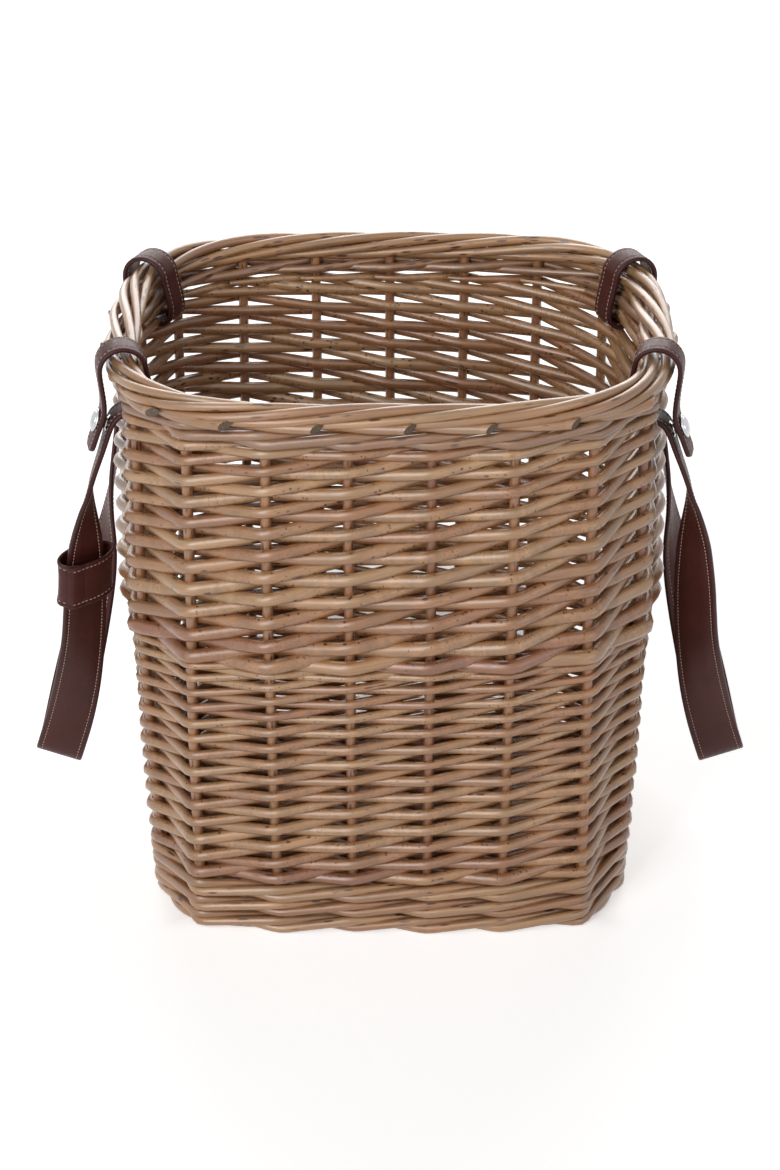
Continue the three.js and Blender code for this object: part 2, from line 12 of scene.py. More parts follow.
import bpy
import numpy as np
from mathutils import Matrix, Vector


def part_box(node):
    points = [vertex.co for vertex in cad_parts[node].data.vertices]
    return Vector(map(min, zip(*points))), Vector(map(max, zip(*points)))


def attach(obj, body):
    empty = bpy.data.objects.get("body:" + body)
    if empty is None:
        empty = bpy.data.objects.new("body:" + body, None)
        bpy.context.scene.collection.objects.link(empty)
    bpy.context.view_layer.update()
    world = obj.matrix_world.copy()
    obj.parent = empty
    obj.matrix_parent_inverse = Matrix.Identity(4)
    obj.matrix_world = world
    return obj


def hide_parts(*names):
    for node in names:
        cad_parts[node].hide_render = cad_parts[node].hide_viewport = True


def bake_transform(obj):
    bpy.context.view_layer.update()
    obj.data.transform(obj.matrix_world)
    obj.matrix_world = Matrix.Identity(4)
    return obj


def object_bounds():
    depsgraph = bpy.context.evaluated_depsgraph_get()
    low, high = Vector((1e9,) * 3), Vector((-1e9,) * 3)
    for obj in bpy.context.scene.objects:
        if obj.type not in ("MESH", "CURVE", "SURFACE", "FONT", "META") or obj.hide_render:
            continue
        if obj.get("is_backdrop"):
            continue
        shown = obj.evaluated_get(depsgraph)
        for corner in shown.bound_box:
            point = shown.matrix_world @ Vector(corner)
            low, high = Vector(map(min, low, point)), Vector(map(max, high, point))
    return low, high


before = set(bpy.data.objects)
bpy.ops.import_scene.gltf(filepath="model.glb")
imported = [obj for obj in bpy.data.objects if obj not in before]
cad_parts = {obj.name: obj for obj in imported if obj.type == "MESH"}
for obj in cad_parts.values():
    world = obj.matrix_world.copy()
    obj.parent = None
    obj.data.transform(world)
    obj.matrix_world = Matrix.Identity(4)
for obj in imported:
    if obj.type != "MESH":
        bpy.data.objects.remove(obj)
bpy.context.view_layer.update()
MM = 0.001

# %% [markdown]
# ## Camera
# The picture was taken from in front and above with a long lens. A focal length in pixels is
# turned into millimetres with the sensor size, because Blender fits the sensor to the longer
# side of the picture, which is its height here.

# %% Camera
CAMERA_PLACE = (0.0, -1.870, 1.178)
CAMERA_DIP = math.radians(27.7)
FOCAL_PIXELS = 3000
PICTURE_HEIGHT = 1170
SENSOR = 36.0

scene = bpy.context.scene
scene.view_settings.view_transform = "Standard"
camera = bpy.data.objects.new("camera", bpy.data.cameras.new("camera"))
camera.data.sensor_width = SENSOR
camera.data.lens = FOCAL_PIXELS / PICTURE_HEIGHT * SENSOR
camera.location = CAMERA_PLACE
camera.rotation_euler = (math.pi / 2 - CAMERA_DIP, 0, 0)
scene.collection.objects.link(camera)
scene.camera = camera
print("lens", round(camera.data.lens, 1), "mm")

# %% [markdown]
# ## Helpers
# Shaders and Geometry Nodes are both trees of nodes. One short helper makes a node and fills its
# inputs: it types in a value, or links another node's output. Inputs are given in their order or
# by their capitalised names, with an underscore for a space; names in small letters are the
# node's options. The other helpers put an object into the scene, make one from points and faces,
# and tell the frame which body a piece rides on and which CAD nodes it replaces.


# %% Node helpers
def set_inputs(tree, node, inputs):
    for key, value in inputs.items():
        if isinstance(value, bpy.types.NodeSocket):
            tree.links.new(value, node.inputs[key])
        else:
            node.inputs[key].default_value = value


def add_node(tree, kind, *values, **named):
    node = tree.nodes.new(kind)
    inputs = dict(enumerate(values))
    for name, value in named.items():
        if name[0].isupper():
            inputs[name.replace("_", " ")] = value
        else:
            setattr(node, name, value)
    set_inputs(tree, node, inputs)
    return node


def shade(tree, kind, *values, **named):
    return add_node(tree, "ShaderNode" + kind, *values, **named).outputs[0]


def calculate(tree, operation, *values):
    return shade(tree, "Math", *values, operation=operation)


def object_place(tree):
    return add_node(tree, "ShaderNodeTexCoord").outputs["Object"]


def new_shader(name):
    material = bpy.data.materials.new(name)
    material.use_nodes = True
    material.node_tree.nodes.clear()
    print("finish:", name)
    return material, material.node_tree


def grey(level):
    return (level, level, level, 1)


# %% Object helpers
def add_object(name, data):
    made = bpy.data.objects.new(name, data)
    scene.collection.objects.link(made)
    return made


def add_mesh(name, points, faces, finish, smooth=True):
    mesh = bpy.data.meshes.new(name)
    mesh.from_pydata(points, [], faces)
    mesh.polygons.foreach_set("use_smooth", [smooth] * len(faces))
    mesh.materials.append(finish)
    return add_object(name, mesh)


def dress(piece, body, slot, *nodes):
    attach(piece, body)
    if nodes:
        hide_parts(*nodes)


# %% [markdown]
# ## Studio
# The basket stands in an even, white studio, on a pale, round floor that catches a faint shadow.
# A soft lamp stands in front on the left, a weaker one on the right, and a large one behind puts
# the pale shine on the rim. The world and the floor look white to the camera and in reflections,
# so the background is white without more light on the basket. Under the basket and close behind
# it the floor is left as the lamps light it, so that its shadow stays. The soft patch in which
# the white lift fades out is a painted shadow, fixed under and behind the basket wherever the
# lamps are.

# %% World
AMBIENT = 0.10
world = bpy.data.worlds.new("studio")
world.use_nodes = True
world.node_tree.nodes.clear()
scene.world = world


def seen_directly(tree):
    rays = add_node(tree, "ShaderNodeLightPath").outputs
    seen = calculate(tree, "MAXIMUM", rays["Is Camera Ray"], rays["Is Glossy Ray"])
    return calculate(tree, "MAXIMUM", seen, rays["Is Transmission Ray"])


tree = world.node_tree
strength = calculate(tree, "MULTIPLY_ADD", seen_directly(tree), 1 - AMBIENT, AMBIENT)
sky = shade(tree, "Background", Color=grey(1), Strength=strength)
add_node(tree, "ShaderNodeOutputWorld", Surface=sky)
print("world light", AMBIENT)

# %% Lamps
LAMPS = {  # place, width, height and watts
    "key_softbox": ((-1.3, -2.2, 1.65), 1.1, 2.4, 46),
    "back_softbox": ((0.0, 2.6, 1.9), 2.8, 2.8, 72),
    "fill_softbox": ((1.7, -1.9, 1.0), 1.2, 1.2, 7),
}
LIT_POINT = np.array([0.0, 0.0, 0.25])

for lamp_name, (place, width, height, watts) in LAMPS.items():
    lamp = add_object(lamp_name, bpy.data.lights.new(lamp_name, "AREA"))
    lamp.data.shape = "RECTANGLE"
    lamp.data.size = width
    lamp.data.size_y = height
    lamp.data.energy = watts
    lamp.location = place
    aim = Vector(LIT_POINT - np.array(place))
    lamp.rotation_euler = aim.to_track_quat("-Z", "Y").to_euler()
print(len(LAMPS), "lamps")

# %% Floor
FLOOR_RADIUS = 2.0
FLOOR_SIDES = 96
FLOOR_GREY = 0.82
FLOOR_LIFT = 0.6  # what the camera sees on top of the lit floor, so that it comes out white
# Painted shadow: the white lift fades out in a soft patch under the basket, reaching this far to
# each side, in front and behind, so the floor there is darker than elsewhere whatever the lamps
# do
PAINTED_SHADOW_REACH = (("X", 0.17), ("X", -0.17), ("Y", -0.145), ("Y", 0.55))
PAINTED_SHADOW_CORE = 0.55  # share of the reach in which the floor is as the lamps light it

floor_finish, tree = new_shader("floor")
split = add_node(tree, "ShaderNodeSeparateXYZ", object_place(tree)).outputs
furthest = 0.0
for axis, reach in PAINTED_SHADOW_REACH:
    share = calculate(tree, "DIVIDE", split[axis], reach)
    furthest = calculate(tree, "MAXIMUM", share, furthest)
# the fading lift paints the soft shadow under and behind the basket
fade = dict(From_Min=PAINTED_SHADOW_CORE, From_Max=1.0, To_Max=FLOOR_LIFT)
outside = shade(tree, "MapRange", furthest, **fade, interpolation_type="SMOOTHSTEP")
paint = shade(tree, "BsdfDiffuse", Color=grey(FLOOR_GREY))
lift = calculate(tree, "MULTIPLY", seen_directly(tree), outside)
glow = shade(tree, "Emission", Strength=lift)
both = shade(tree, "AddShader", paint, glow)
add_node(tree, "ShaderNodeOutputMaterial", Surface=both)

edge_turns = np.linspace(0, math.tau, FLOOR_SIDES, endpoint=False)
floor_edge = [(FLOOR_RADIUS * math.cos(a), FLOOR_RADIUS * math.sin(a), 0) for a in edge_turns]
floor = add_mesh("floor", floor_edge, [range(FLOOR_SIDES)], floor_finish, smooth=False)
floor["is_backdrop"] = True
print("floor", 2 * FLOOR_RADIUS, "m across")

# %% [markdown]
# ## The shape of the wall
# Seen from above the basket is a rounded rectangle, squarer at the base than at the rim. A
# superellipse gives that with three numbers: half the width, half the depth and an exponent for
# the squareness. The wall flares up to a shoulder and stands upright above it. Places round the
# basket are counted in gaps between stakes, from the front middle and counter-clockwise from
# above: a stake stands at every half, and whole numbers are the middles of the gaps.

# %% Wall measures
STAKES = 21
STAKE_RADIUS = 3.7 * MM
BORDER_RADIUS = 11 * MM
RIM_TOP = max(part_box(f"border_rod_{rod}")[1].z for rod in range(1, 5))
BORDER_MIDDLE = RIM_TOP - BORDER_RADIUS
BORDER_HEART = RIM_TOP - 8.5 * MM  # the rods lie closer together than the CAD's
SHOULDER = 232 * MM
BASE_PLAN = (157.4 * MM, 138 * MM, 6.2)
WALL_PLAN = (177 * MM, 148 * MM, 3.4)
BORDER_PLAN = (179 * MM, 150 * MM, 3.4)


def on_plan(half_width, half_depth, squareness, angle):
    sine, cosine = np.sin(angle), np.cos(angle)
    reach = (np.abs(sine) / half_width) ** squareness
    reach = reach + (np.abs(cosine) / half_depth) ** squareness
    x = sine * reach ** (-1 / squareness)
    y = -cosine * reach ** (-1 / squareness)
    out_x = np.sign(x) * (np.abs(x) / half_width) ** (squareness - 1) / half_width
    out_y = np.sign(y) * (np.abs(y) / half_depth) ** (squareness - 1) / half_depth
    length = np.hypot(out_x, out_y)
    return x, y, out_x / length, out_y / length


def run_along(points):
    steps = np.linalg.norm(np.diff(points, axis=0), axis=1)
    return np.concatenate([[0], np.cumsum(steps)])


def read_off(marks, run, rows):
    return np.stack([np.interp(marks, run, column) for column in rows.T], axis=-1)


TURN = np.linspace(0, math.tau, 3601)
LAP = run_along(np.stack(on_plan(*WALL_PLAN, TURN)[:2], axis=-1))
print("rim", round(LAP[-1] / MM), "mm round, one gap", round(LAP[-1] / STAKES / MM, 1), "mm")


# %% Points on the wall and on the border
def angle_at(gaps):
    return np.interp(np.mod(gaps, STAKES) / STAKES * LAP[-1], LAP, TURN)


def beside_plan(plan, gaps, height, out):
    x, y, out_x, out_y = on_plan(*plan, angle_at(gaps))
    return np.stack(np.broadcast_arrays(x + out_x * out, y + out_y * out, height), axis=-1)


def on_wall(gaps, height, out):
    share = np.clip(height / SHOULDER, 0, 1)
    plan = [low + share * (high - low) for low, high in zip(BASE_PLAN, WALL_PLAN)]
    return beside_plan(plan, gaps, height, out)


def on_border(gaps, out, up):
    return beside_plan(BORDER_PLAN, gaps, BORDER_HEART + up, out)


print("front of the border at", np.round(on_border(0.0, BORDER_RADIUS, 0.0) / MM))

# %% [markdown]
# ## Rods from paths, with Geometry Nodes
# Hundreds of willow rods follow paths, so one Geometry Nodes tree makes them all: it turns the
# edges of a mesh into curves and sweeps a circle along them. Every point carries the rod's own
# radius, so rods taper, and a tone between 0 and 1 that the finish turns into a colour. The tree
# also stores how far along the rod a point lies and where on the circle, for the grain.


# %% Rod tree
def shape(tree, kind, *values, **named):
    return add_node(tree, "GeometryNode" + kind, *values, **named).outputs[0]


def new_tree(name, **inputs):
    tree = bpy.data.node_groups.new(name, "GeometryNodeTree")
    for socket, kind in inputs.items():
        tree.interface.new_socket(socket, in_out="INPUT", socket_type="NodeSocket" + kind)
    tree.interface.new_socket("Result", in_out="OUTPUT", socket_type="NodeSocketGeometry")
    return tree, add_node(tree, "NodeGroupInput").outputs


def rod_tree():
    tree, given = new_tree("willow rods", Paths="Geometry", Sides="Int", Finish="Material")
    length = add_node(tree, "GeometryNodeSplineParameter").outputs["Length"]
    curves = shape(tree, "MeshToCurve", Mesh=given["Paths"])
    curves = shape(tree, "StoreNamedAttribute", Geometry=curves, Name="along", Value=length)
    circle = shape(tree, "CurvePrimitiveCircle", Resolution=given["Sides"], Radius=1.0)
    spot = dict(Name="section", Value=shape(tree, "InputPosition"), data_type="FLOAT_VECTOR")
    circle = shape(tree, "StoreNamedAttribute", Geometry=circle, **spot)
    radius = shape(tree, "InputNamedAttribute", Name="rod_radius")
    swept = shape(
        tree, "CurveToMesh", Curve=curves, Profile_Curve=circle, Scale=radius, Fill_Caps=True
    )
    soft = shape(tree, "SetShadeSmooth", Geometry=swept)
    real = shape(tree, "RealizeInstances", Geometry=soft)
    done = shape(tree, "SetMaterial", Geometry=real, Material=given["Finish"])
    add_node(tree, "NodeGroupOutput", Result=done)
    return tree


ROD_TREE = rod_tree()
print("rod tree with", len(ROD_TREE.nodes), "nodes")


# %% From paths to a finished piece
def set_attribute(mesh, name, kind, values):
    layer = mesh.attributes.new(name, kind, "POINT")
    field = "vector" if kind == "FLOAT_VECTOR" else "value"
    layer.data.foreach_set(field, np.asarray(values, dtype=np.float32).ravel())


def run_tree(name, mesh, tree, inputs):
    source = add_object(name + "_source", mesh)
    modifier = source.modifiers.new("nodes", "NODES")
    modifier.node_group = tree
    for socket in tree.interface.items_tree:
        if socket.name in inputs:
            modifier[socket.identifier] = inputs[socket.name]
    depsgraph = bpy.context.evaluated_depsgraph_get()
    made = bpy.data.meshes.new_from_object(
        source.evaluated_get(depsgraph), preserve_all_data_layers=True, depsgraph=depsgraph
    )
    bpy.data.objects.remove(source)
    return add_object(name, made)


def grow_rods(name, rods, finish, closed=False, sides=10):
    mesh = bpy.data.meshes.new(name + "_paths")
    paths, radii, tones = zip(*rods)
    edges, first = [], 0
    for points in paths:
        last = first + len(points) - 1
        edges += [(k, k + 1) for k in range(first, last)]
        if closed:
            edges.append((last, first))
        first = last + 1
    mesh.from_pydata(np.concatenate(paths), edges, [])
    for attribute, values in (("rod_radius", radii), ("tone", tones)):
        spread = [np.broadcast_to(value, len(points)) for value, points in zip(values, paths)]
        set_attribute(mesh, attribute, "FLOAT", np.concatenate(spread))
    piece = run_tree(name, mesh, ROD_TREE, {"Sides": sides, "Finish": finish})
    print(name, len(rods), "rods,", len(piece.data.polygons), "faces")
    return piece


# %% [markdown]
# ## Willow
# The rods are peeled, stained willow: satin, tan to orange-brown, with fine streaks along the
# rod and scattered dark scars where leaves and buds sat. A finish laid on Object coordinates
# would run straight through rods that bend, so this one reads the length along the rod and the
# place on its circle. Streaks are noise stretched along the rod; scars are small, long cells of
# a Voronoi texture. Each rod's tone picks its colour from a ramp.


# %% Finish helpers
def carried(tree, name, output="Fac"):
    return add_node(tree, "ShaderNodeAttribute", attribute_name=name).outputs[output]


def mapped(tree, source, scale):
    return shade(tree, "VectorMath", source, scale, operation="MULTIPLY")


def noise(tree, place, detail, scale=1.0):
    return shade(tree, "TexNoise", Vector=place, Scale=scale, Detail=detail)


def cells(tree, place, scale=1.0):
    return add_node(tree, "ShaderNodeTexVoronoi", Vector=place, Scale=scale).outputs


def greys(*stops):
    return [(position, grey(level)) for position, level in stops]


def ramp(tree, source, stops):
    node = add_node(tree, "ShaderNodeValToRGB", source)
    elements = node.color_ramp.elements
    while len(elements) < len(stops):
        elements.new(0.5)
    for element, (position, colour) in zip(elements, stops):
        element.position = position
        element.color = colour
    return node.outputs["Color"]


def mixed(tree, share, first, second, blend="MIX"):
    node = add_node(tree, "ShaderNodeMix", share, data_type="RGBA", blend_type=blend)
    set_inputs(tree, node, {6: first, 7: second})  # its sockets for two colours
    return node.outputs[2]


def surface(tree, relief, strength, depth, **look):
    normal = shade(tree, "Bump", Height=relief, Strength=strength, Distance=depth)
    shader = shade(tree, "BsdfPrincipled", Normal=normal, **look)
    add_node(tree, "ShaderNodeOutputMaterial", Surface=shader)


def fibre_finish(name, tones, detail, scale, **look):
    material, tree = new_shader(name)
    fibre = noise(tree, object_place(tree), detail, scale)
    surface(tree, fibre, Base_Color=ramp(tree, fibre, tones), **look)
    return material


# %% Willow finish
GRAIN_RADIUS = 3.4 * MM
TONE_SHIFT = 7.0  # moves each rod's pattern along by its tone, so that no two rods match
STREAK_SCALE = (45, 1300, 1300)
CLOUD_SCALE = (14, 90, 90)
SCAR_SCALE = (85, 420, 420)
SCAR_COLOUR = (0.075, 0.018, 0.003, 1)
SCAR_HEART = greys((0.26, 1), (0.42, 0))  # a scar fills the heart of a cell
SCAR_CHOICE = greys((0.54, 0), (0.58, 1))  # only some cells have one
SCAR_CLUSTER = greys((0.45, 0), (0.52, 1))  # and only where the cloud is dense
CLOUD_SHADE = greys((0.3, 0.74), (0.7, 1.12))
STREAK_SHADE = greys((0.3, 0.8), (0.65, 1.1))
STREAK_GLOSS = greys((0.3, 0.32), (0.7, 0.45))
WILLOW_SHINE = dict(Specular_IOR_Level=0.7, Coat_Weight=0.9, Coat_Roughness=0.34)
WILLOW_RELIEF = dict(strength=0.35, depth=0.4 * MM)
WILLOW_TONES = [
    (0.0, (0.50, 0.285, 0.135, 1)),
    (0.35, (0.44, 0.222, 0.094, 1)),
    (0.7, (0.38, 0.168, 0.068, 1)),
    (1.0, (0.30, 0.115, 0.048, 1)),
]
DARK_TONES = [(0.0, (0.36, 0.185, 0.09, 1)), (1.0, (0.27, 0.115, 0.05, 1))]


def willow_finish(name, tones):
    material, tree = new_shader(name)
    tone = carried(tree, "tone")
    on_circle = mapped(tree, carried(tree, "section", "Vector"), (GRAIN_RADIUS,) * 3)
    split = add_node(tree, "ShaderNodeSeparateXYZ", on_circle).outputs
    shifted = calculate(tree, "MULTIPLY_ADD", tone, TONE_SHIFT, carried(tree, "along"))
    grain = shade(tree, "CombineXYZ", shifted, split[0], split[1])
    streak = noise(tree, mapped(tree, grain, STREAK_SCALE), detail=4.0)
    cloud = noise(tree, mapped(tree, grain, CLOUD_SCALE), detail=3.0)
    scar_cells = cells(tree, mapped(tree, grain, SCAR_SCALE))
    scarred = ramp(tree, scar_cells["Distance"], SCAR_HEART)
    for source, stops in ((scar_cells["Color"], SCAR_CHOICE), (cloud, SCAR_CLUSTER)):
        scarred = mixed(tree, 1.0, scarred, ramp(tree, source, stops), "MULTIPLY")
    colour = ramp(tree, tone, tones)
    for source, stops in ((cloud, CLOUD_SHADE), (streak, STREAK_SHADE)):
        colour = mixed(tree, 1.0, colour, ramp(tree, source, stops), "MULTIPLY")
    colour = mixed(tree, scarred, colour, SCAR_COLOUR)
    relief = mixed(tree, scarred, streak, grey(0.0))
    gloss = ramp(tree, streak, STREAK_GLOSS)
    surface(tree, relief, Base_Color=colour, Roughness=gloss, **WILLOW_RELIEF, **WILLOW_SHINE)
    return material


willow = willow_finish("willow", WILLOW_TONES)
dark_willow = willow_finish("dark willow", DARK_TONES)

# %% [markdown]
# ## Stakes
# Twenty-one upright stakes carry the weave. Each is a rod of its own, thickest at the base, that
# follows the flare of the wall and ends inside the border. A little sway keeps them from
# looking turned on a lathe.

# %% Stakes
STAKE_FOOT = 4 * MM
STAKE_TOP = BORDER_HEART - 6 * MM
STAKE_TAPER = 0.95
STAKE_POINTS = 40
STAKE_WAVES = 6  # how far through its sway a stake gets from foot to tip
STAKE_DRIFT = 0.01  # along the wall, in gaps
SWAY = 0.5 * MM  # in and out
# The stakes take their tones from the darker end of the ramp. This is a painted shade for the
# shadow that the rods cast on them, on top of the stakes' own spread of tone.
STAKE_TONES_WITH_PAINTED_SHADE = (0.45, 0.95)
draw = np.random.default_rng(21)


def sway(places, size):
    waves = draw.uniform(0.6, 1.9, 3)
    phases = draw.uniform(0, math.tau, 3)
    return size * np.mean([np.sin(places * w + p) for w, p in zip(waves, phases)], axis=0)


stake_rods = []
for stake in range(STAKES):
    height = np.linspace(STAKE_FOOT, STAKE_TOP, STAKE_POINTS)
    share = np.linspace(0, 1, STAKE_POINTS)
    gaps = stake + 0.5 + sway(share * STAKE_WAVES, STAKE_DRIFT)
    points = on_wall(gaps, height, sway(share * STAKE_WAVES, SWAY))
    radius = STAKE_RADIUS * (1 - (1 - STAKE_TAPER) * share)
    stake_rods.append((points, radius, draw.uniform(*STAKE_TONES_WITH_PAINTED_SHADE)))
stakes = grow_rods("willow_stakes", stake_rods, willow)
dress(stakes, "basket", "willow", *[f"stake_{stake + 1:02d}" for stake in range(STAKES)])

# %% [markdown]
# ## The woven wall
# The wall is French randing: as many rods as stakes, each starting at its own stake, passing in
# front of one stake and behind the next and climbing as it goes. The rods are laid in butt first,
# so the rows are thick at the bottom of a block and thin at its top. The basket has two such
# blocks. Stiff rods run straight from stake to stake and kink there, so the points at the stakes
# are joined by straight lines and the corners are rounded a little. A rod climbs half a row for
# every gap, less at its two ends, where it lies down on what is below and above it. Where the
# leather passes through the wall, the rods above and below it are pushed apart.

# %% Leather slots in the wall
LEATHER = 3.2 * MM
LOOP_GAPS = {"right": (4, 7), "left": (STAKES - 4, STAKES - 7)}
SLOT_HEIGHT = 356.7 * MM
SLOT_RISE = 7.4 * MM  # the rows climb this much in one lap
SLOT_PUSH = 2.4 * MM
SLOT_REACH = 9 * MM
SLOT_HALF = 0.33  # half a slot's width, in gaps
ALL_SLOTS = (*LOOP_GAPS["right"], *LOOP_GAPS["left"])


def slot_middle(gap):
    return SLOT_HEIGHT + SLOT_RISE * (gap - 0.5) / STAKES


def part_for_leather(gaps, height):
    parted = height.copy()
    for gap in ALL_SLOTS:
        aside = np.mod(gaps - gap + STAKES / 2, STAKES) - STAKES / 2
        near = np.exp(-((aside / SLOT_HALF) ** 4))
        above = height - slot_middle(gap)
        pushed = np.sign(above) * SLOT_PUSH * np.exp(-((above / SLOT_REACH) ** 2))
        parted = parted + near * pushed
    return parted


print("leather passes the wall at", [round(slot_middle(gap) / MM) for gap in ALL_SLOTS], "mm")

# %% Randing
POINTS_PER_GAP = 10
PRESSED = 1.3 * MM  # rods and stakes dent each other where they cross
LEAD, TRAIL = 1.2, 0.25  # gaps that a rod runs before its first stake and past its last
LYING_START, LYING_END = 0.5, 1.5  # gaps at a rod's two ends in which it lies down
SETTLED = 0.4  # slope of a rod's two ends, as a share of its slope elsewhere
TIP = 1.5  # gaps over which a rod runs out to its tip
TIP_THICKNESS = 0.45
BUTT_SWELL = 0.12  # how much stouter a butt is, in its row, than a tip
SWELL_MIDDLE = 0.7  # share of a rod at which it has its row's own thickness
ROD_SIZES = (0.94, 1.05)
ROD_UNEVEN = 0.08
ROD_DRIFT = 0.8 * MM
ROD_TONES = (0.0, 0.72)
TONE_DRIFT = 0.12
BUTT_DARK, BUTT_FADE = 0.34, 9  # butts are darker, and fade towards the tip


def straight_runs(start, step, height, out):
    at_stakes = np.arange(math.floor(step[0]), math.ceil(step[-1]) + 1)
    reach = np.interp(at_stakes, step, out) * (-1.0) ** at_stakes
    corners = on_wall(start + 0.5 + at_stakes, np.interp(at_stakes, step, height), reach)
    path = read_off(step, at_stakes, corners)
    path[:, 2] = part_for_leather(start + 0.5 + step, path[:, 2])
    path[1:-1] = (path[:-2] + 2 * path[1:-1] + path[2:]) / 4
    return path


def rand_rods(bottom, top, steps, taper, fill):
    step = np.arange(-LEAD, steps + TRAIL, 1 / POINTS_PER_GAP)
    rises, ends = LYING_START, steps - LYING_END
    first = rises - SETTLED * (rises - step[0])
    last = ends + SETTLED * (step[-1] - ends)
    level = np.interp(step, [step[0], rises, ends, step[-1]], [first, rises, ends, last])
    share = (level - first) / (last - first)
    mean_row = 2 * (top - bottom) / (last - first + 1)
    row = mean_row * (1 + (taper - 1) * share) / (1 + taper) * 2
    risen = (share + (taper - 1) * share**2 / 2) / (1 + taper) * (last - first)
    butt = BUTT_DARK * np.exp(-share * BUTT_FADE)
    rods = []
    for start in range(STAKES):
        height = bottom + row[0] / 4 + mean_row * risen + sway(step * 0.9, ROD_DRIFT)
        radius = row * fill * draw.uniform(*ROD_SIZES) * (1 + sway(step * 1.7, ROD_UNEVEN))
        radius = radius * (1 + BUTT_SWELL * (SWELL_MIDDLE - share))
        points = straight_runs(start, step, height, STAKE_RADIUS + radius - PRESSED)
        radius = radius * np.clip((step[-1] - step) / TIP + TIP_THICKNESS, 0, 1)
        tone = np.clip(draw.uniform(*ROD_TONES) + butt + sway(step, TONE_DRIFT), 0, 1)
        rods.append((points, radius, tone))
    return rods


print("randing with", POINTS_PER_GAP, "points in every gap")

# %% Lower and upper block
WALE_TOP = 38 * MM
WEAVE_CHANGE = 209 * MM
WEAVE_TOP = 375 * MM
OVERLAP = 3 * MM  # how far the blocks settle into each other
BLOCKS = {
    "lower": dict(bottom=WALE_TOP, top=WEAVE_CHANGE + OVERLAP, steps=27, taper=0.74, fill=0.252),
    "upper": dict(bottom=WEAVE_CHANGE - OVERLAP, top=WEAVE_TOP, steps=21, taper=0.76, fill=0.266),
}

for block, block_facts in BLOCKS.items():
    randing = grow_rods(f"{block}_randing", rand_rods(**block_facts), willow)
    dress(randing, "basket", "willow", f"{block}_weave")

# %% [markdown]
# ## Wales
# A wale binds the stakes at the bottom and again under the border: three rods that take turns,
# each in front of two stakes and behind one. Seen from outside it looks like a rope. Because
# twenty-one stakes divide by three, each rod closes on itself. At its first stake it lies low in
# front, at the second high in front, and it goes behind the third; straight runs join them.

# %% Wales
BOTTOM_WALE_ROD = 3.3 * MM
BOTTOM_ROUNDS = (7.2 * MM, 20 * MM, 33 * MM)
BOTTOM_TONES = (0.1, 0.7)
TOP_WALE_ROD = 3.45 * MM
TOP_ROUND = 378.8 * MM
TOP_TONES = (0.1, 0.9)
WALE_RISE = 3.4 * MM
WALE_PRESSED = 0.7 * MM
WALE_DRIFT = 0.5 * MM
WALE_UNEVEN = 0.06
HAND_SIZES = (0.93, 1.05)
IN_FRONT = np.array([1, 1, -1])  # at the three stakes of a rod's turn
LIES_HIGH = np.array([-1, 1, 0])
ROUND_GAPS = np.arange(STAKES * POINTS_PER_GAP) / POINTS_PER_GAP
ROUND_ANGLE = math.tau * ROUND_GAPS / STAKES


def wale_rods(middle, thickness, tones):
    at_stakes = np.arange(STAKES + 1)
    rods = []
    for rod in range(3):
        radius = thickness * draw.uniform(*HAND_SIZES)
        turn_taken = (at_stakes - rod) % 3
        out = (STAKE_RADIUS + radius - WALE_PRESSED) * IN_FRONT[turn_taken]
        drift = WALE_DRIFT * np.sin(math.tau * at_stakes / 7 + draw.uniform(0, 6))
        height = middle + (WALE_RISE * LIES_HIGH[turn_taken] + drift)
        corners = on_wall(at_stakes + 0.5, height, out)
        points = read_off(ROUND_GAPS, at_stakes, corners)
        points = (np.roll(points, 1, axis=0) + 2 * points + np.roll(points, -1, axis=0)) / 4
        radius = radius * (1 + WALE_UNEVEN * np.sin(5 * ROUND_ANGLE + draw.uniform(0, 6)))
        rods.append((points, radius, draw.uniform(*tones)))
    return rods


bottom_rods = []
for middle in BOTTOM_ROUNDS:
    bottom_rods += wale_rods(middle, BOTTOM_WALE_ROD, BOTTOM_TONES)
bottom_wale = grow_rods("bottom_wale_rods", bottom_rods, willow, closed=True)
top_rods = wale_rods(TOP_ROUND, TOP_WALE_ROD, TOP_TONES)
top_wale = grow_rods("top_wale_rods", top_rods, dark_willow, closed=True)
dress(bottom_wale, "basket", "willow", "bottom_wale")
dress(top_wale, "basket", "dark_willow", "top_wale")

# %% [markdown]
# ## Rolled border
# At the rim every stake is bent over and carried along with its neighbours. It climbs the
# outside, crosses the top and goes down inside, like a strand in a rope, and after about six
# gaps its end comes out under the border, cut off at a slant; beside a leather loop it stays
# inside. The path is a helix round the middle line of the border that opens out at its end. The
# border is stouter behind and at the sides than in front, so the helix changes its radius on the
# way, and its middle line sinks by as much, which keeps the top level.

# %% Border rods
BORDER_ROD = 3.35 * MM
BORDER_RING = 5.3 * MM  # in front
BACK_SWELL = 1.1 * MM
SIDE_SWELL = 1.35 * MM
SIDE_SPREAD = 0.2  # how much wider than high the border is at the sides
BORDER_END_RING = 9.6 * MM
BORDER_SPAN = 6.6  # gaps from a rod's start to its cut end
BORDER_TURN = 5.4  # gaps for once round
BORDER_START = math.radians(-112)
BORDER_POINTS = 80
BORDER_DRIFT = 0.7 * MM
BORDER_SHIFT = 0.08  # gaps by which a rod starts early or late
BORDER_TONES = (0.0, 0.6)
START_THICKNESS = 0.92
CUT_DIP = -0.4  # the cuts face outwards and a little down
LOOP_ROOM = 0.75  # gaps beside a leather loop in which no end comes out
ALL_LOOPS = [gap + lap for gap in ALL_SLOTS for lap in (0, STAKES)]


def border_ring(gaps):
    angle = angle_at(gaps)
    swell = BACK_SWELL * (1 - np.cos(angle)) / 2 + SIDE_SWELL * np.sin(angle) ** 4
    return BORDER_RING + swell, 1 + SIDE_SPREAD * np.sin(angle) ** 4


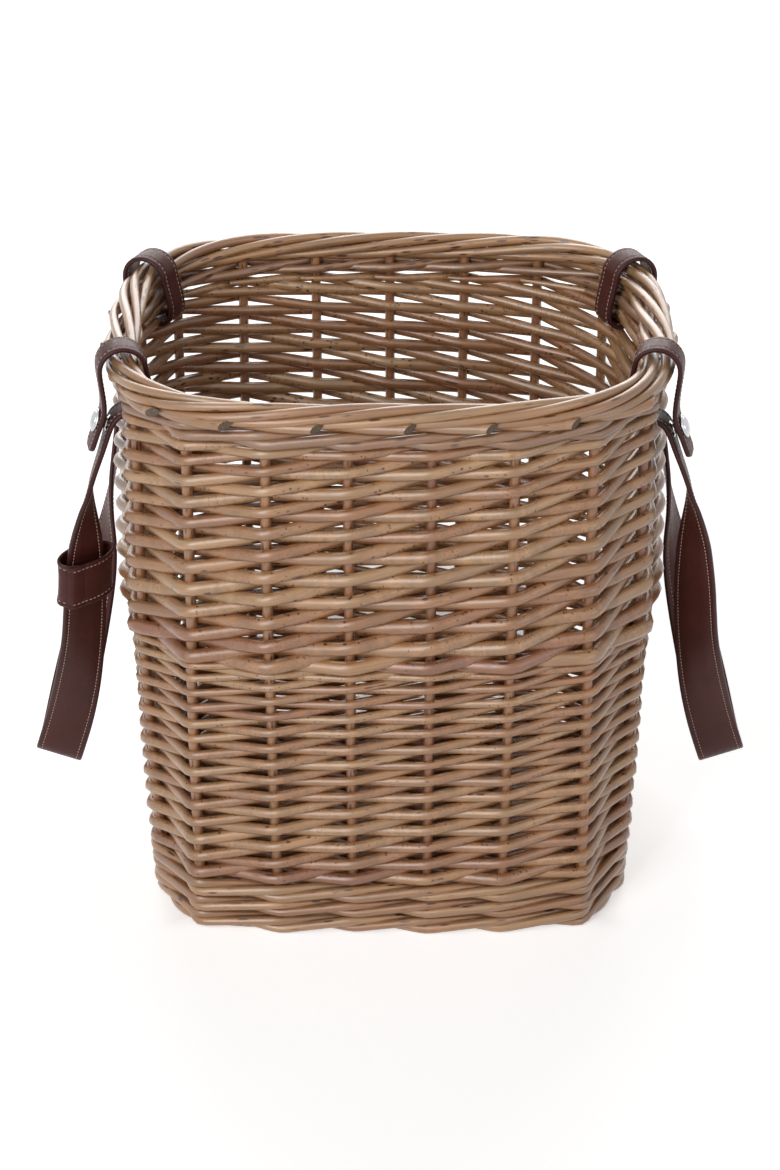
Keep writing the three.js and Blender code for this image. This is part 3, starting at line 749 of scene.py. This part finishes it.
border_rods, cuts = [], []
for start in range(STAKES):
    step = np.linspace(0, BORDER_SPAN, BORDER_POINTS)
    winding = BORDER_START + math.tau * step / BORDER_TURN
    end_gap = start + 0.5 + BORDER_SPAN
    by_loop = any(abs(end_gap - gap) % STAKES < LOOP_ROOM for gap in ALL_LOOPS)
    opening = np.clip((step - BORDER_TURN) / (BORDER_SPAN - BORDER_TURN), 0, 1) ** 1.5
    opened = (BORDER_END_RING - BORDER_RING) * opening * (not by_loop)
    opened = opened + sway(step, BORDER_DRIFT)
    gaps = start + 0.5 + step + draw.uniform(-BORDER_SHIFT, BORDER_SHIFT)
    ring, spread = border_ring(gaps)
    out, up = np.cos(winding) * spread, np.sin(winding)
    points = on_border(gaps, (ring + opened) * out, BORDER_RING - ring + (ring + opened) * up)
    radius = BORDER_ROD * draw.uniform(*HAND_SIZES)
    radius = radius * np.linspace(START_THICKNESS, 1.0, BORDER_POINTS)
    border_rods.append((points, radius, draw.uniform(*BORDER_TONES)))
    if not by_loop:
        way = points[-1] - points[-2]
        facing = on_border(gaps[-1], 1.0, CUT_DIP) - on_border(gaps[-1], 0.0, 0.0)
        cuts.append((points[-1], way / np.linalg.norm(way), facing))
border = grow_rods("rolled_border", border_rods, willow)
dress(border, "basket", "willow", *[f"border_rod_{rod}" for rod in range(1, 5)])

# %% [markdown]
# The cut ends are short stubs with a slanted face, one for each border rod that comes out. They
# repeat, so a second tree sets a copy on every end: a cylinder whose end is sheared by moving its
# top corners along it. Its slanted face gets a grey finish of its own. The nodes that turn a
# copy and set it on its point are kept in a function, because the stitches need them as well.


# %% Slanted ends
def set_on_points(tree, points, model, scale=(1, 1, 1)):
    way, facing = [
        shape(tree, "InputNamedAttribute", Name=name, data_type="FLOAT_VECTOR")
        for name in ("way", "facing")
    ]
    turn = add_node(
        tree, "FunctionNodeAxesToRotation", way, facing, primary_axis="Z", secondary_axis="X"
    ).outputs[0]
    placed = shape(
        tree, "InstanceOnPoints", Points=points, Instance=model, Rotation=turn, Scale=scale
    )
    return shape(tree, "RealizeInstances", Geometry=placed)


def stub_tree(sides):
    sockets = dict.fromkeys(("Radius", "Length", "Slant"), "Float")
    sockets |= dict.fromkeys(("Finish", "Cut"), "Material")
    tree, given = new_tree("slanted ends", Places="Geometry", **sockets)
    radius, length = given["Radius"], given["Length"]
    stub = add_node(
        tree, "GeometryNodeMeshCylinder", Vertices=sides, Radius=radius, Depth=length
    ).outputs
    split = add_node(tree, "ShaderNodeSeparateXYZ", shape(tree, "InputPosition")).outputs
    sheared = calculate(tree, "MULTIPLY", split["X"], given["Slant"])
    offset = shade(tree, "CombineXYZ", Z=sheared)
    at_top = add_node(
        tree, "FunctionNodeCompare", A=split["Z"], B=0.0, operation="GREATER_THAN"
    ).outputs[0]
    slanted = shape(tree, "SetPosition", Geometry=stub["Mesh"], Selection=at_top, Offset=offset)
    barked = shape(tree, "SetMaterial", Geometry=slanted, Material=given["Finish"])
    real = set_on_points(tree, given["Places"], barked)
    done = shape(tree, "SetMaterial", Geometry=real, Selection=stub["Top"], Material=given["Cut"])
    add_node(tree, "NodeGroupOutput", Result=done)
    return tree


def points_mesh(name, places, ways, facings):
    mesh = bpy.data.meshes.new(name + "_places")
    mesh.from_pydata(np.asarray(places), [], [])
    set_attribute(mesh, "way", "FLOAT_VECTOR", ways)
    set_attribute(mesh, "facing", "FLOAT_VECTOR", facings)
    return mesh


# %% Cut finish and the ends in place
CUT_TONES = [(0.3, (0.075, 0.048, 0.033, 1)), (0.7, (0.23, 0.168, 0.120, 1))]
CUT_FIBRE = dict(detail=4.0, scale=900.0, strength=0.5, depth=0.5 * MM, Roughness=0.75)
STUB_SIDES = 12
STUB = {"Radius": 0.98 * BORDER_ROD, "Length": 7 * MM, "Slant": -1.1}

cut_willow = fibre_finish("cut willow", CUT_TONES, **CUT_FIBRE)
stub_places = points_mesh("cut_ends", *zip(*cuts))
stub_inputs = {**STUB, "Finish": willow, "Cut": cut_willow}
cut_stubs = run_tree("border_cut_ends", stub_places, stub_tree(STUB_SIDES), stub_inputs)
dress(cut_stubs, "basket", "willow")
print("border_cut_ends", len(cuts), "ends,", len(cut_stubs.data.polygons), "faces")

# %% [markdown]
# ## Foot and base
# Under the wall lie three rods, side by side, that the basket stands on. Inside them the base is
# woven flat: five sticks run from front to back, and rods go over and under them from side to
# side, each row opposite to the last.

# %% Foot rods
FOOT_ROD = 3.5 * MM
FOOT_HEIGHT = FOOT_ROD + 0.1 * MM
FOOT_LANES = (-1.5 * MM, -8.6 * MM, -15.6 * MM)
FOOT_WANDER = 0.5 * MM
FOOT_TONES = (0.3, 0.8)

foot_rods = []
for lane, out in enumerate(FOOT_LANES):
    wander = FOOT_WANDER * np.sin(7 * ROUND_ANGLE + lane)
    points = on_wall(ROUND_GAPS, np.full_like(ROUND_GAPS, FOOT_HEIGHT), out + wander)
    foot_rods.append((points, FOOT_ROD, draw.uniform(*FOOT_TONES)))
foot = grow_rods("foot_rods", foot_rods, willow, closed=True)
dress(foot, "basket", "willow", "foot_hoop")

# %% Woven base
STICK_NODES = [f"base_stick_{stick}" for stick in range(1, 6)]
STICK_RADIUS = 3.4 * MM
STICK_CLEARANCE = 3.2 * MM  # from a stick's middle to the side of a rod that crosses it
STICK_TONES = (0.3, 0.8)
BASE_ROD = 2.9 * MM
BASE_ROW = 5.6 * MM
BASE_INSET = 13 * MM
BASE_WANDER = 0.5 * MM
BASE_TONES = (0.2, 0.8)
BASE_HEIGHT = sum(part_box(STICK_NODES[0]), Vector()).z / 2

half_width, half_depth, squareness = BASE_PLAN
stick_places, base_rods = [], []
for node in STICK_NODES:
    low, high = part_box(node)
    stick_places.append((low + high).x / 2)
    y = np.linspace(low.y, high.y, 12)
    x, z = np.full_like(y, stick_places[-1]), np.full_like(y, BASE_HEIGHT)
    points = np.stack([x, y, z], axis=-1)
    base_rods.append((points, STICK_RADIUS, draw.uniform(*STICK_TONES)))
stick_gap = stick_places[1] - stick_places[0]
rows = int(2 * (half_depth - BASE_INSET) / BASE_ROW)
for row in range(rows + 1):
    y = (row - rows / 2) * BASE_ROW
    inside = 1 - (abs(y) / (half_depth - BASE_INSET + BASE_ROD)) ** squareness
    reach = (half_width - BASE_INSET) * inside ** (1 / squareness)
    x = np.linspace(-reach, reach, 60)
    over = np.cos(math.pi * (x - stick_places[0]) / stick_gap) * (-1) ** row
    z = BASE_HEIGHT + over * (BASE_ROD + STICK_CLEARANCE)
    points = np.stack([x, y + sway(x * 30, BASE_WANDER), z], axis=-1)
    base_rods.append((points, BASE_ROD, draw.uniform(*BASE_TONES)))
base = grow_rods("woven_base", base_rods, willow, sides=8)
dress(base, "basket", "willow", "base_weave", *STICK_NODES)

# %% [markdown]
# ## Leather
# Each carrying strap is one length of dark red-brown leather. Both ends go through the wall, up
# the inside, over the border and down outside to a press stud; between them the strap hangs in a
# V that is folded at the bottom. A band like this is a cross-section moved along a path, and the
# section carries the leather's look: rounded, painted edges and a groove along each edge for
# the stitching. The path is a smooth curve through the points where the real strap is held.

# %% A smooth path through control rows
STEP = 2.4 * MM


def smooth_path(rows):
    rows = np.asarray(rows, dtype=float)
    spans = np.linalg.norm(np.diff(rows[:, :3], axis=0), axis=1)
    times = np.concatenate([[0], np.cumsum(np.sqrt(spans))])
    slopes = np.gradient(rows, times, axis=0)
    dense = np.linspace(0, times[-1], 4000)
    k = np.clip(np.searchsorted(times, dense, side="right") - 1, 0, len(times) - 2)
    width = (times[k + 1] - times[k])[:, None]
    t = (dense - times[k])[:, None] / width
    fine = (
        (2 * t**3 - 3 * t**2 + 1) * rows[k]
        + (t**3 - 2 * t**2 + t) * width * slopes[k]
        + (3 * t**2 - 2 * t**3) * rows[k + 1]
        + (t**3 - t**2) * width * slopes[k + 1]
    )
    run = run_along(fine[:, :3])
    return read_off(np.linspace(0, run[-1], round(run[-1] / STEP) + 1), run, fine)


def unit(vectors):
    return vectors / np.linalg.norm(vectors, axis=-1, keepdims=True)


print("leather path step", STEP / MM, "mm")

# %% [markdown]
# ### Leather finish
# The leather is smooth, with a fine pebble grain, slow changes of tone and a soft shine. Its
# edges are painted darker and smoother. The mesh stores how much a point belongs to an edge, and
# the finish mixes the two by that.

# %% Leather finish
LEATHER_TONES = [(0.3, (0.058, 0.0125, 0.0095, 1)), (0.7, (0.084, 0.020, 0.0155, 1))]
LEATHER_GLOSS = greys((0.3, 0.36), (0.7, 0.52))
LEATHER_LOOK = dict(strength=0.22, depth=0.4 * MM, Specular_IOR_Level=0.22)
EDGE_COLOUR = (0.060, 0.018, 0.018, 1)
EDGE_GLOSS = 0.38
EDGE_RELIEF = 0.4
CREASE_SHARE = 0.45


def leather_finish():
    material, tree = new_shader("leather")
    place = object_place(tree)
    edge = carried(tree, "edge")
    cloud = noise(tree, place, detail=5.0, scale=28.0)
    crease = noise(tree, place, detail=6.0, scale=320.0)
    pebble = cells(tree, place, scale=1100.0)["Distance"]
    colour = mixed(tree, edge, ramp(tree, cloud, LEATHER_TONES), EDGE_COLOUR)
    gloss = mixed(tree, edge, ramp(tree, crease, LEATHER_GLOSS), grey(EDGE_GLOSS))
    relief = mixed(tree, CREASE_SHARE, pebble, crease)
    relief = mixed(tree, edge, relief, grey(EDGE_RELIEF))
    surface(tree, relief, Base_Color=colour, Roughness=gloss, **LEATHER_LOOK)
    return material


leather = leather_finish()

# %% Cross-section of a band
EDGE = 1.3 * MM
EDGE_SHOULDER = (0.3 * EDGE, 0.36)  # in from the edge, and up as a share of the thickness
STITCH_INSET = 4.0 * MM
GROOVE = 0.8 * MM
GROOVE_DEPTH = 0.30 * MM
MIDDLE_SHARE = 0.3


def band_section(half, thickness):
    top = thickness / 2
    seam = half - STITCH_INSET
    right = [(half * MIDDLE_SHARE, top), (seam - GROOVE, top), (seam, top - GROOVE_DEPTH)]
    right += [(seam + GROOVE, top), (half - EDGE, top)]
    shoulder, rise = half - EDGE_SHOULDER[0], EDGE_SHOULDER[1] * thickness
    edge = [(shoulder, rise), (half, 0.0), (shoulder, -rise)]
    upper = [(-u, v) for u, v in right[::-1]] + right + edge
    on_edge = ([0.5] + [0.0] * 8 + [0.5] + [1.0] * 3) * 2
    return np.array(upper + [(-u, -v) for u, v in upper]), on_edge


# %% A band along a path
def leather_band(name, path, thickness, curl=0.0):
    middle, across, widths = path[:, :3], path[:, 3:6], path[:, 6]
    facing = unit(np.cross(unit(np.gradient(middle, axis=0)), across))
    rings, edges = [], []
    for point, wide, face, width in zip(middle, across, facing, widths):
        section, on_edge = band_section(width / 2, thickness)
        lifted = section[:, 1] + curl * (np.abs(section[:, 0]) / (width / 2)) ** 4
        rings.append(point + section[:, :1] * wide + lifted[:, None] * face)
        edges += on_edge
    count, total = len(rings[0]), len(edges)
    faces = [tuple(range(count)), tuple(range(total - 1, total - count - 1, -1))]
    for low in range(0, total - count, count):
        high = low + count
        for k in range(count):
            beside = (k + 1) % count
            faces.append((low + k, high + k, high + beside, low + beside))
    piece = add_mesh(name, np.concatenate(rings), faces, leather)
    set_attribute(piece.data, "edge", "FLOAT", edges)
    print(name, round(run_along(middle)[-1] / MM), "mm long")
    return piece, facing


# %% [markdown]
# ### Where the strap runs
# The route repeats the one in the CAD part: a loop round the border at two places on each side,
# a flex line below them where the strap bends, and two legs that twist to face the front, hang
# straight and then flick outwards to a tilted fold.

# %% Strap measures
UP = np.array([0.0, 0.0, 1.0])
LOOP_WIDTH = 22 * MM
STRAP_WIDTH = 34 * MM
LOOP_RADIUS = 15.2 * MM
LOOP_DEGREES = range(0, 181, 20)
STRIP_DROP = 90 * MM
STRIP_OUT = 27 * MM
TAIL_LENGTH = 29 * MM
STUD_PLACE = 9 * MM
STUD_POST = 5 * MM
HALF_WALL = 7 * MM
LOOP_BEND = 6.4 * MM
STRAP_SPREAD = 238 * MM
STRAP_HANG = 26 * MM
FOLD_HEIGHT = 50 * MM
FOLD_RADIUS = 12 * MM
FOLD_START = math.radians(60)
FOLD_DEGREES = (-30, 0, 30)
TWIST = math.radians(52)
TWIST_END = 0.2  # this and the next three are shares of a leg
FAR_TWIST_END = 0.6  # the leg behind turns later
STRAIGHT_END = 0.42
KEEPER_SHARE = 0.29
FAR_BULGE = 4 * MM
LEG_SHARES = (0.04, 0.08, 0.13, 0.18, 0.24, 0.33, 0.42, 0.52, 0.62, 0.74, 0.87, 1.0)


def eased_share(value, low, high):
    t = np.clip((value - low) / (high - low), 0, 1)
    return t * t * (3 - 2 * t)


def twist_at(share, end):
    t = min(share / TWIST_END, 1)
    near, far = 1.3 * t - 0.3 * t**3, eased_share(share, TWIST_END, FAR_TWIST_END)
    turning = TWIST * (far if end else near)
    return turning + (math.pi / 2 - turning) * eased_share(share, STRAIGHT_END, 1)


def flick_at(share):
    return max(0, share - STRAIGHT_END) / (1 - STRAIGHT_END)


print("strap", STRAP_WIDTH / MM, "mm wide, loops", LOOP_WIDTH / MM, "mm")


# %% One loop
def loop_frame(gap):
    x, y, out_x, out_y = on_plan(*BORDER_PLAN, angle_at(gap))
    middle = np.array([x, y, BORDER_MIDDLE])
    out = np.array([out_x, out_y, 0.0])
    stakes = on_wall(np.array([gap - 0.5, gap + 0.5]), np.full(2, BORDER_MIDDLE), 0.0)
    wall_out = float((stakes.mean(axis=0) - middle) @ out)
    return {"gap": gap, "middle": middle, "out": out, "wall_out": wall_out}


def loop_rows(loop, flex_line, side):
    def at(out, up):
        return loop["middle"] + loop["out"] * out + UP * up

    wall_out, slot = loop["wall_out"], slot_middle(loop["gap"]) - BORDER_MIDDLE
    heart = BORDER_HEART + BORDER_RING - border_ring(loop["gap"])[0] - BORDER_MIDDLE
    start = np.array([STRIP_OUT, -STRIP_DROP])
    leave = np.array([wall_out + HALF_WALL + LEATHER, slot - LEATHER / 2])
    down = unit(start - leave)
    outer = np.array([-down[1], down[0]])
    tail = leave + outer * (LEATHER + STUD_POST)
    rimwise = np.cross(UP, loop["out"])
    rimwise = rimwise * np.sign(rimwise @ flex_line)
    places = [tail + down * TAIL_LENGTH, tail + down * TAIL_LENGTH / 2, tail]
    for turn in map(math.radians, LOOP_DEGREES):
        places.append(LOOP_RADIUS * np.array([math.cos(turn), math.sin(turn)]) + (0, heart))
    places += [(wall_out - HALF_WALL - LOOP_BEND, slot + LOOP_BEND), (wall_out - HALF_WALL, slot)]
    places += [(wall_out + HALF_WALL - LEATHER, slot), leave + down * LEATHER]
    route = [(place, rimwise) for place in places]
    route.append(((leave + start) / 2, (rimwise + flex_line) / 2))
    route.append((start, flex_line))
    rows = [[*at(*place), *(side * across), LOOP_WIDTH] for place, across in route]
    stud = at(*(tail + down * STUD_PLACE))
    return rows, (stud, loop["out"] * outer[0] + UP * outer[1])


# %% The hanging part
def strap_rows(flex, flex_line, outwards):
    fold = (flex[0] + flex[1]) / 2
    drop = fold[2] - FOLD_HEIGHT - FOLD_RADIUS
    flick = abs(STRAP_SPREAD - abs(fold[0])) - STRAP_HANG
    fold = fold + outwards * (STRAP_HANG + flick) - UP * drop

    def tilted(across, up, share):
        tilt = math.atan2(STRAP_HANG + 2 * flick * flick_at(share) / (1 - STRAIGHT_END), drop)
        sideways = across * math.cos(tilt) - up * math.sin(tilt)
        return outwards * sideways + UP * (across * math.sin(tilt) + up * math.cos(tilt))

    def on_fold(angle):
        sideways = flex_line * FOLD_RADIUS * math.sin(angle)
        return fold + sideways + tilted(0, -1, 1) * FOLD_RADIUS * math.cos(angle)

    def leg_row(end, share):
        towards = 2 * end - 1
        flicked = flick_at(share)
        hanging = on_fold(towards * FOLD_START) - flex[end]
        flick_out = hanging @ outwards - STRAP_HANG
        hanging = hanging - outwards * flick_out
        place = flex[end] + hanging * share + outwards * flick_out * flicked**2
        place = place + outwards * end * FAR_BULGE * 4 * flicked * (1 - flicked)
        twist = twist_at(share, end)
        across = flex_line * towards * math.cos(twist) + tilted(1, 0, share) * math.sin(twist)
        width = LOOP_WIDTH + (STRAP_WIDTH - LOOP_WIDTH) * eased_share(share, 0, STRAIGHT_END)
        return [*place, *across, width]

    rows = [leg_row(0, share) for share in LEG_SHARES]
    for angle in map(math.radians, FOLD_DEGREES):
        rows.append([*on_fold(angle), *tilted(1, 0, 1), STRAP_WIDTH])
    rows += [leg_row(1, share) for share in LEG_SHARES[::-1]]
    keeper_row = np.array(leg_row(0, KEEPER_SHARE))
    way = unit(np.array(leg_row(0, STRAIGHT_END)[:3]) - keeper_row[:3])
    return rows, {"place": keeper_row[:3], "wide": keeper_row[3:6], "way": way}


# %% [markdown]
# ### Stitches
# Cream thread runs in the grooves along both edges, on both faces. A stitch is a small rounded
# bead, a few millimetres long, that repeats hundreds of times, so Geometry Nodes sets one on
# every point. Each point carries the way along the seam and the way the leather faces.


# %% Stitch tree
def stitch_tree():
    sockets = dict(Length="Float", Thickness="Float", Finish="Material")
    tree, given = new_tree("stitches", Places="Geometry", **sockets)
    bead = shape(tree, "MeshUVSphere", Segments=6, Rings=4, Radius=0.5)
    thick = given["Thickness"]
    size = shade(tree, "CombineXYZ", thick, thick, given["Length"])
    sewn = set_on_points(tree, given["Places"], bead, size)
    soft = shape(tree, "SetShadeSmooth", Geometry=sewn)
    done = shape(tree, "SetMaterial", Geometry=soft, Material=given["Finish"])
    add_node(tree, "NodeGroupOutput", Result=done)
    return tree


STITCH_TREE = stitch_tree()
print("stitch tree with", len(STITCH_TREE.nodes), "nodes")

# %% Sewing
THREAD_TONES = [(0.3, (0.42, 0.31, 0.25, 1)), (0.7, (0.66, 0.54, 0.46, 1))]
THREAD_TWIST = dict(detail=3.0, scale=2200.0, strength=0.4, depth=0.2 * MM, Roughness=0.8)
STITCH_PITCH = 3.1 * MM
STITCH_LENGTH = 2.3 * MM
STITCH_THICKNESS = 0.75 * MM
STITCH_PROUD = 0.3 * STITCH_THICKNESS  # a stitch's middle above the floor of its groove

thread = fibre_finish("thread", THREAD_TONES, **THREAD_TWIST)


def sew(name, path, facing, thickness, curl=0.0, faces=(1, -1)):
    middle, across, half = path[:, :3], path[:, 3:6], path[:, 6] / 2
    run = run_along(middle)
    marks = np.arange(STITCH_PITCH, run[-1] - STITCH_PITCH, STITCH_PITCH)
    lift = thickness / 2 - GROOVE_DEPTH + STITCH_PROUD
    raised = curl * ((half - STITCH_INSET) / half) ** 4
    rows = []
    for side in (-1, 1):
        for face in faces:
            seam = middle + side * (half - STITCH_INSET)[:, None] * across
            seam = seam + (face * lift + raised)[:, None] * facing
            way = unit(np.gradient(seam, axis=0))
            rows.append(read_off(marks, run, np.hstack([seam, way, face * facing])))
    mesh = points_mesh(name, *np.hsplit(np.concatenate(rows), 3))
    sizes = {"Length": STITCH_LENGTH, "Thickness": STITCH_THICKNESS}
    piece = run_tree(name, mesh, STITCH_TREE, {**sizes, "Finish": thread})
    print(name, len(mesh.vertices), "stitches")
    return piece


# %% [markdown]
# ### Both straps
# Leather and stitches are made for each side.

# %% Straps
TAIL_ROUND = 5 * MM
TAIL_CUT = 0.9  # how much of a full rounding is cut off a tail's corners
SOFT_REACH = 34 * MM  # how far from the flex line the leather eases its bend
SOFT_ROUNDS = 70


def add_strap(side, gaps):
    loops = [loop_frame(gap) for gap in gaps]
    flex = [loop["middle"] + loop["out"] * STRIP_OUT - UP * STRIP_DROP for loop in loops]
    flex_line = unit(flex[1] - flex[0])
    outwards = unit(np.cross(flex_line, UP))
    outwards = outwards * np.sign(outwards @ loops[0]["out"])
    near_rows, near_stud = loop_rows(loops[0], flex_line, -1)
    far_rows, far_stud = loop_rows(loops[1], flex_line, 1)
    hanging, leg = strap_rows(flex, flex_line, outwards)
    path = smooth_path(near_rows + hanging + far_rows[::-1])
    for point in flex:
        close = np.exp(-((np.linalg.norm(path[:, :3] - point, axis=1) / SOFT_REACH) ** 4))
        for _ in range(SOFT_ROUNDS):
            pull = (path[:-2, :3] + path[2:, :3]) / 2 - path[1:-1, :3]
            path[1:-1, :3] += pull * close[1:-1, None] / 2
    path[:, 3:6] = unit(path[:, 3:6])
    ends = np.minimum(np.arange(len(path)), np.arange(len(path))[::-1]) * STEP
    rounding = np.clip(1 - ends / TAIL_ROUND, 0, 1)
    path[:, 6] -= 2 * TAIL_ROUND * (1 - np.sqrt(1 - rounding**2)) * TAIL_CUT
    band, facing = leather_band(f"leather_strap_{side}", path, LEATHER)
    seams = sew(f"strap_stitching_{side}", path, facing, LEATHER)
    for piece in (band, seams):
        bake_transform(piece)
    loop_nodes = [f"strap_loop_{side}_{end}" for end in ("near", "far")]
    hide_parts(*loop_nodes, f"handle_strap_{side}")
    return {"near": near_stud, "far": far_stud}, leg


studs, legs = {}, {}
for side, gaps in LOOP_GAPS.items():
    studs[side], legs[side] = add_strap(side, gaps)

# %% [markdown]
# ## Keeper
# The left strap carries a loose oval sleeve of the same leather, closed by lapping its end over
# its start at the front. It slides on the strap, so it rides on a body of its own. It is made as
# another band, whose path runs once round the strap and a little further, one thickness out.

# %% Keeper
KEEPER_HEIGHT = 40 * MM
KEEPER_WALL = 2.2 * MM
KEEPER_HALF_WIDTH = STRAP_WIDTH / 2 + 1 * MM + KEEPER_WALL / 2
KEEPER_BELLY = 7 * MM + KEEPER_WALL / 2
KEEPER_CURL = 1.3 * MM
KEEPER_POINTS = 160
LAP_START = math.radians(-62)
LAP_LENGTH = math.radians(24)

leg_way, wide = legs["left"]["way"], legs["left"]["wide"]
wide = unit(wide - leg_way * (wide @ leg_way))
through = np.cross(leg_way, wide)
round_strap = np.linspace(0, math.tau + LAP_LENGTH, KEEPER_POINTS)
turns = LAP_START + round_strap
lapped = (round_strap - math.tau + LAP_LENGTH / 2) / LAP_LENGTH
lapped = KEEPER_WALL * np.clip(lapped, 0, 1)
keeper_path = np.empty((KEEPER_POINTS, 7))
keeper_path[:, :3] = legs["left"]["place"]
keeper_path[:, :3] += np.outer((KEEPER_HALF_WIDTH + lapped) * np.cos(turns), wide)
keeper_path[:, :3] += np.outer((KEEPER_BELLY + lapped) * np.sin(turns), through)
keeper_path[:, 3:6] = leg_way
keeper_path[:, 6] = KEEPER_HEIGHT
keeper, keeper_facing = leather_band("leather_keeper", keeper_path, KEEPER_WALL, KEEPER_CURL)
keeper_seams = sew(
    "keeper_stitching", keeper_path, keeper_facing, KEEPER_WALL, KEEPER_CURL, faces=(1,)
)
dress(keeper, "left_keeper", "leather", "strap_keeper")
dress(keeper_seams, "left_keeper", "leather")

# %% [markdown]
# ## Press studs
# A polished press stud holds each loop's end to the strap behind it: a shallow domed cap with a
# rolled rim outside, and a post between the two layers of leather. Both are turned shapes, so a
# profile is carried round an axis. The mesh is built ring by ring, with a single point where the
# profile meets the axis.

# %% Polished steel
STEEL_COLOUR = (0.58, 0.58, 0.60, 1)
STEEL_GLOSS = greys((0.35, 0.10), (0.75, 0.26))
STEEL_LOOK = dict(strength=0.05, depth=0.2 * MM, Base_Color=STEEL_COLOUR, Metallic=1.0)


def steel_finish():
    material, tree = new_shader("polished steel")
    rub = noise(tree, object_place(tree), detail=5.0, scale=700.0)
    surface(tree, rub, Roughness=ramp(tree, rub, STEEL_GLOSS), **STEEL_LOOK)
    return material


steel = steel_finish()

# %% Turned studs
STUD_SIDES = 40
STUD_GAP = 0.1 * MM
CAP_RADIUS, CAP_HEIGHT = 8.0, 4.0  # the profiles are in millimetres until they are scaled
DOME_RADIUS, DOME_FOOT = 6.4, 1.7
POST_RADIUS, POST_FLANGE, POST_HEIGHT = 4.0, 5.6, 4.8
rolled_rim = [(0, 0), (7.4, 0), (7.9, 0.3), (CAP_RADIUS, 0.9), (7.8, 1.5), (7.2, 1.8), (6.7, 1.6)]
dome = [
    (DOME_RADIUS * math.cos(a), DOME_FOOT + (CAP_HEIGHT - DOME_FOOT) * math.sin(a))
    for a in np.linspace(0, math.pi / 2, 9)[:-1]
]
lower_flange = [(0, 0), (POST_FLANGE, 0), (POST_FLANGE, 0.8), (POST_RADIUS, 1.1)]
upper_flange = [(POST_RADIUS, 3.6), (POST_FLANGE, 3.9), (POST_FLANGE, POST_HEIGHT)]
CAP_PROFILE = np.array([*rolled_rim, *dome, (0, CAP_HEIGHT)]) * MM
POST_PROFILE = np.array([*lower_flange, *upper_flange, (0, POST_HEIGHT)]) * MM


def turned_shell(profile, seat, facing, first):
    side = unit(np.cross(facing, UP))
    angles = np.linspace(0, math.tau, STUD_SIDES, endpoint=False)
    spokes = np.outer(np.cos(angles), side) + np.outer(np.sin(angles), np.cross(facing, side))
    vertices, rings, faces = [], [], []
    for radius, height in profile:
        circle = seat + facing * height + spokes * radius
        circle = circle if radius else circle[:1]
        rings.append([first + len(vertices) + k % len(circle) for k in range(STUD_SIDES)])
        vertices += list(circle)
    for low, high in zip(rings, rings[1:]):
        for k in range(STUD_SIDES):
            beside = (k + 1) % STUD_SIDES
            corners = [low[k], low[beside], high[beside], high[k]]
            faces.append(tuple(dict.fromkeys(corners))[::-1])
    return vertices, faces


def add_stud(name, seat, facing):
    cap_seat = seat + facing * (LEATHER / 2 + STUD_GAP)
    post_seat = seat - facing * (LEATHER / 2 + STUD_POST - STUD_GAP)
    cap, cap_faces = turned_shell(CAP_PROFILE, cap_seat, facing, 0)
    post, post_faces = turned_shell(POST_PROFILE, post_seat, facing, len(cap))
    return add_mesh(name, cap + post, cap_faces + post_faces, steel)


for side, ends in studs.items():
    for end, (seat, facing) in ends.items():
        stud = add_stud(f"press_stud_{side}_{end}", seat, facing)
        stud_nodes = [f"press_stud_{half}_{side}_{end}" for half in ("cap", "post")]
        dress(stud, "basket", "polished_steel", *stud_nodes)
        print(stud.name, "at", np.round(seat / MM))

# %% [markdown]
# ## Size and finish
# The last cell prints the size of the dressed model's box. The dressed model may stand
# only a little proud of the CAD box.

# %% Sizes and finish
low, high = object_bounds()
print("visual box in mm:", [round(side / MM) for side in high - low])
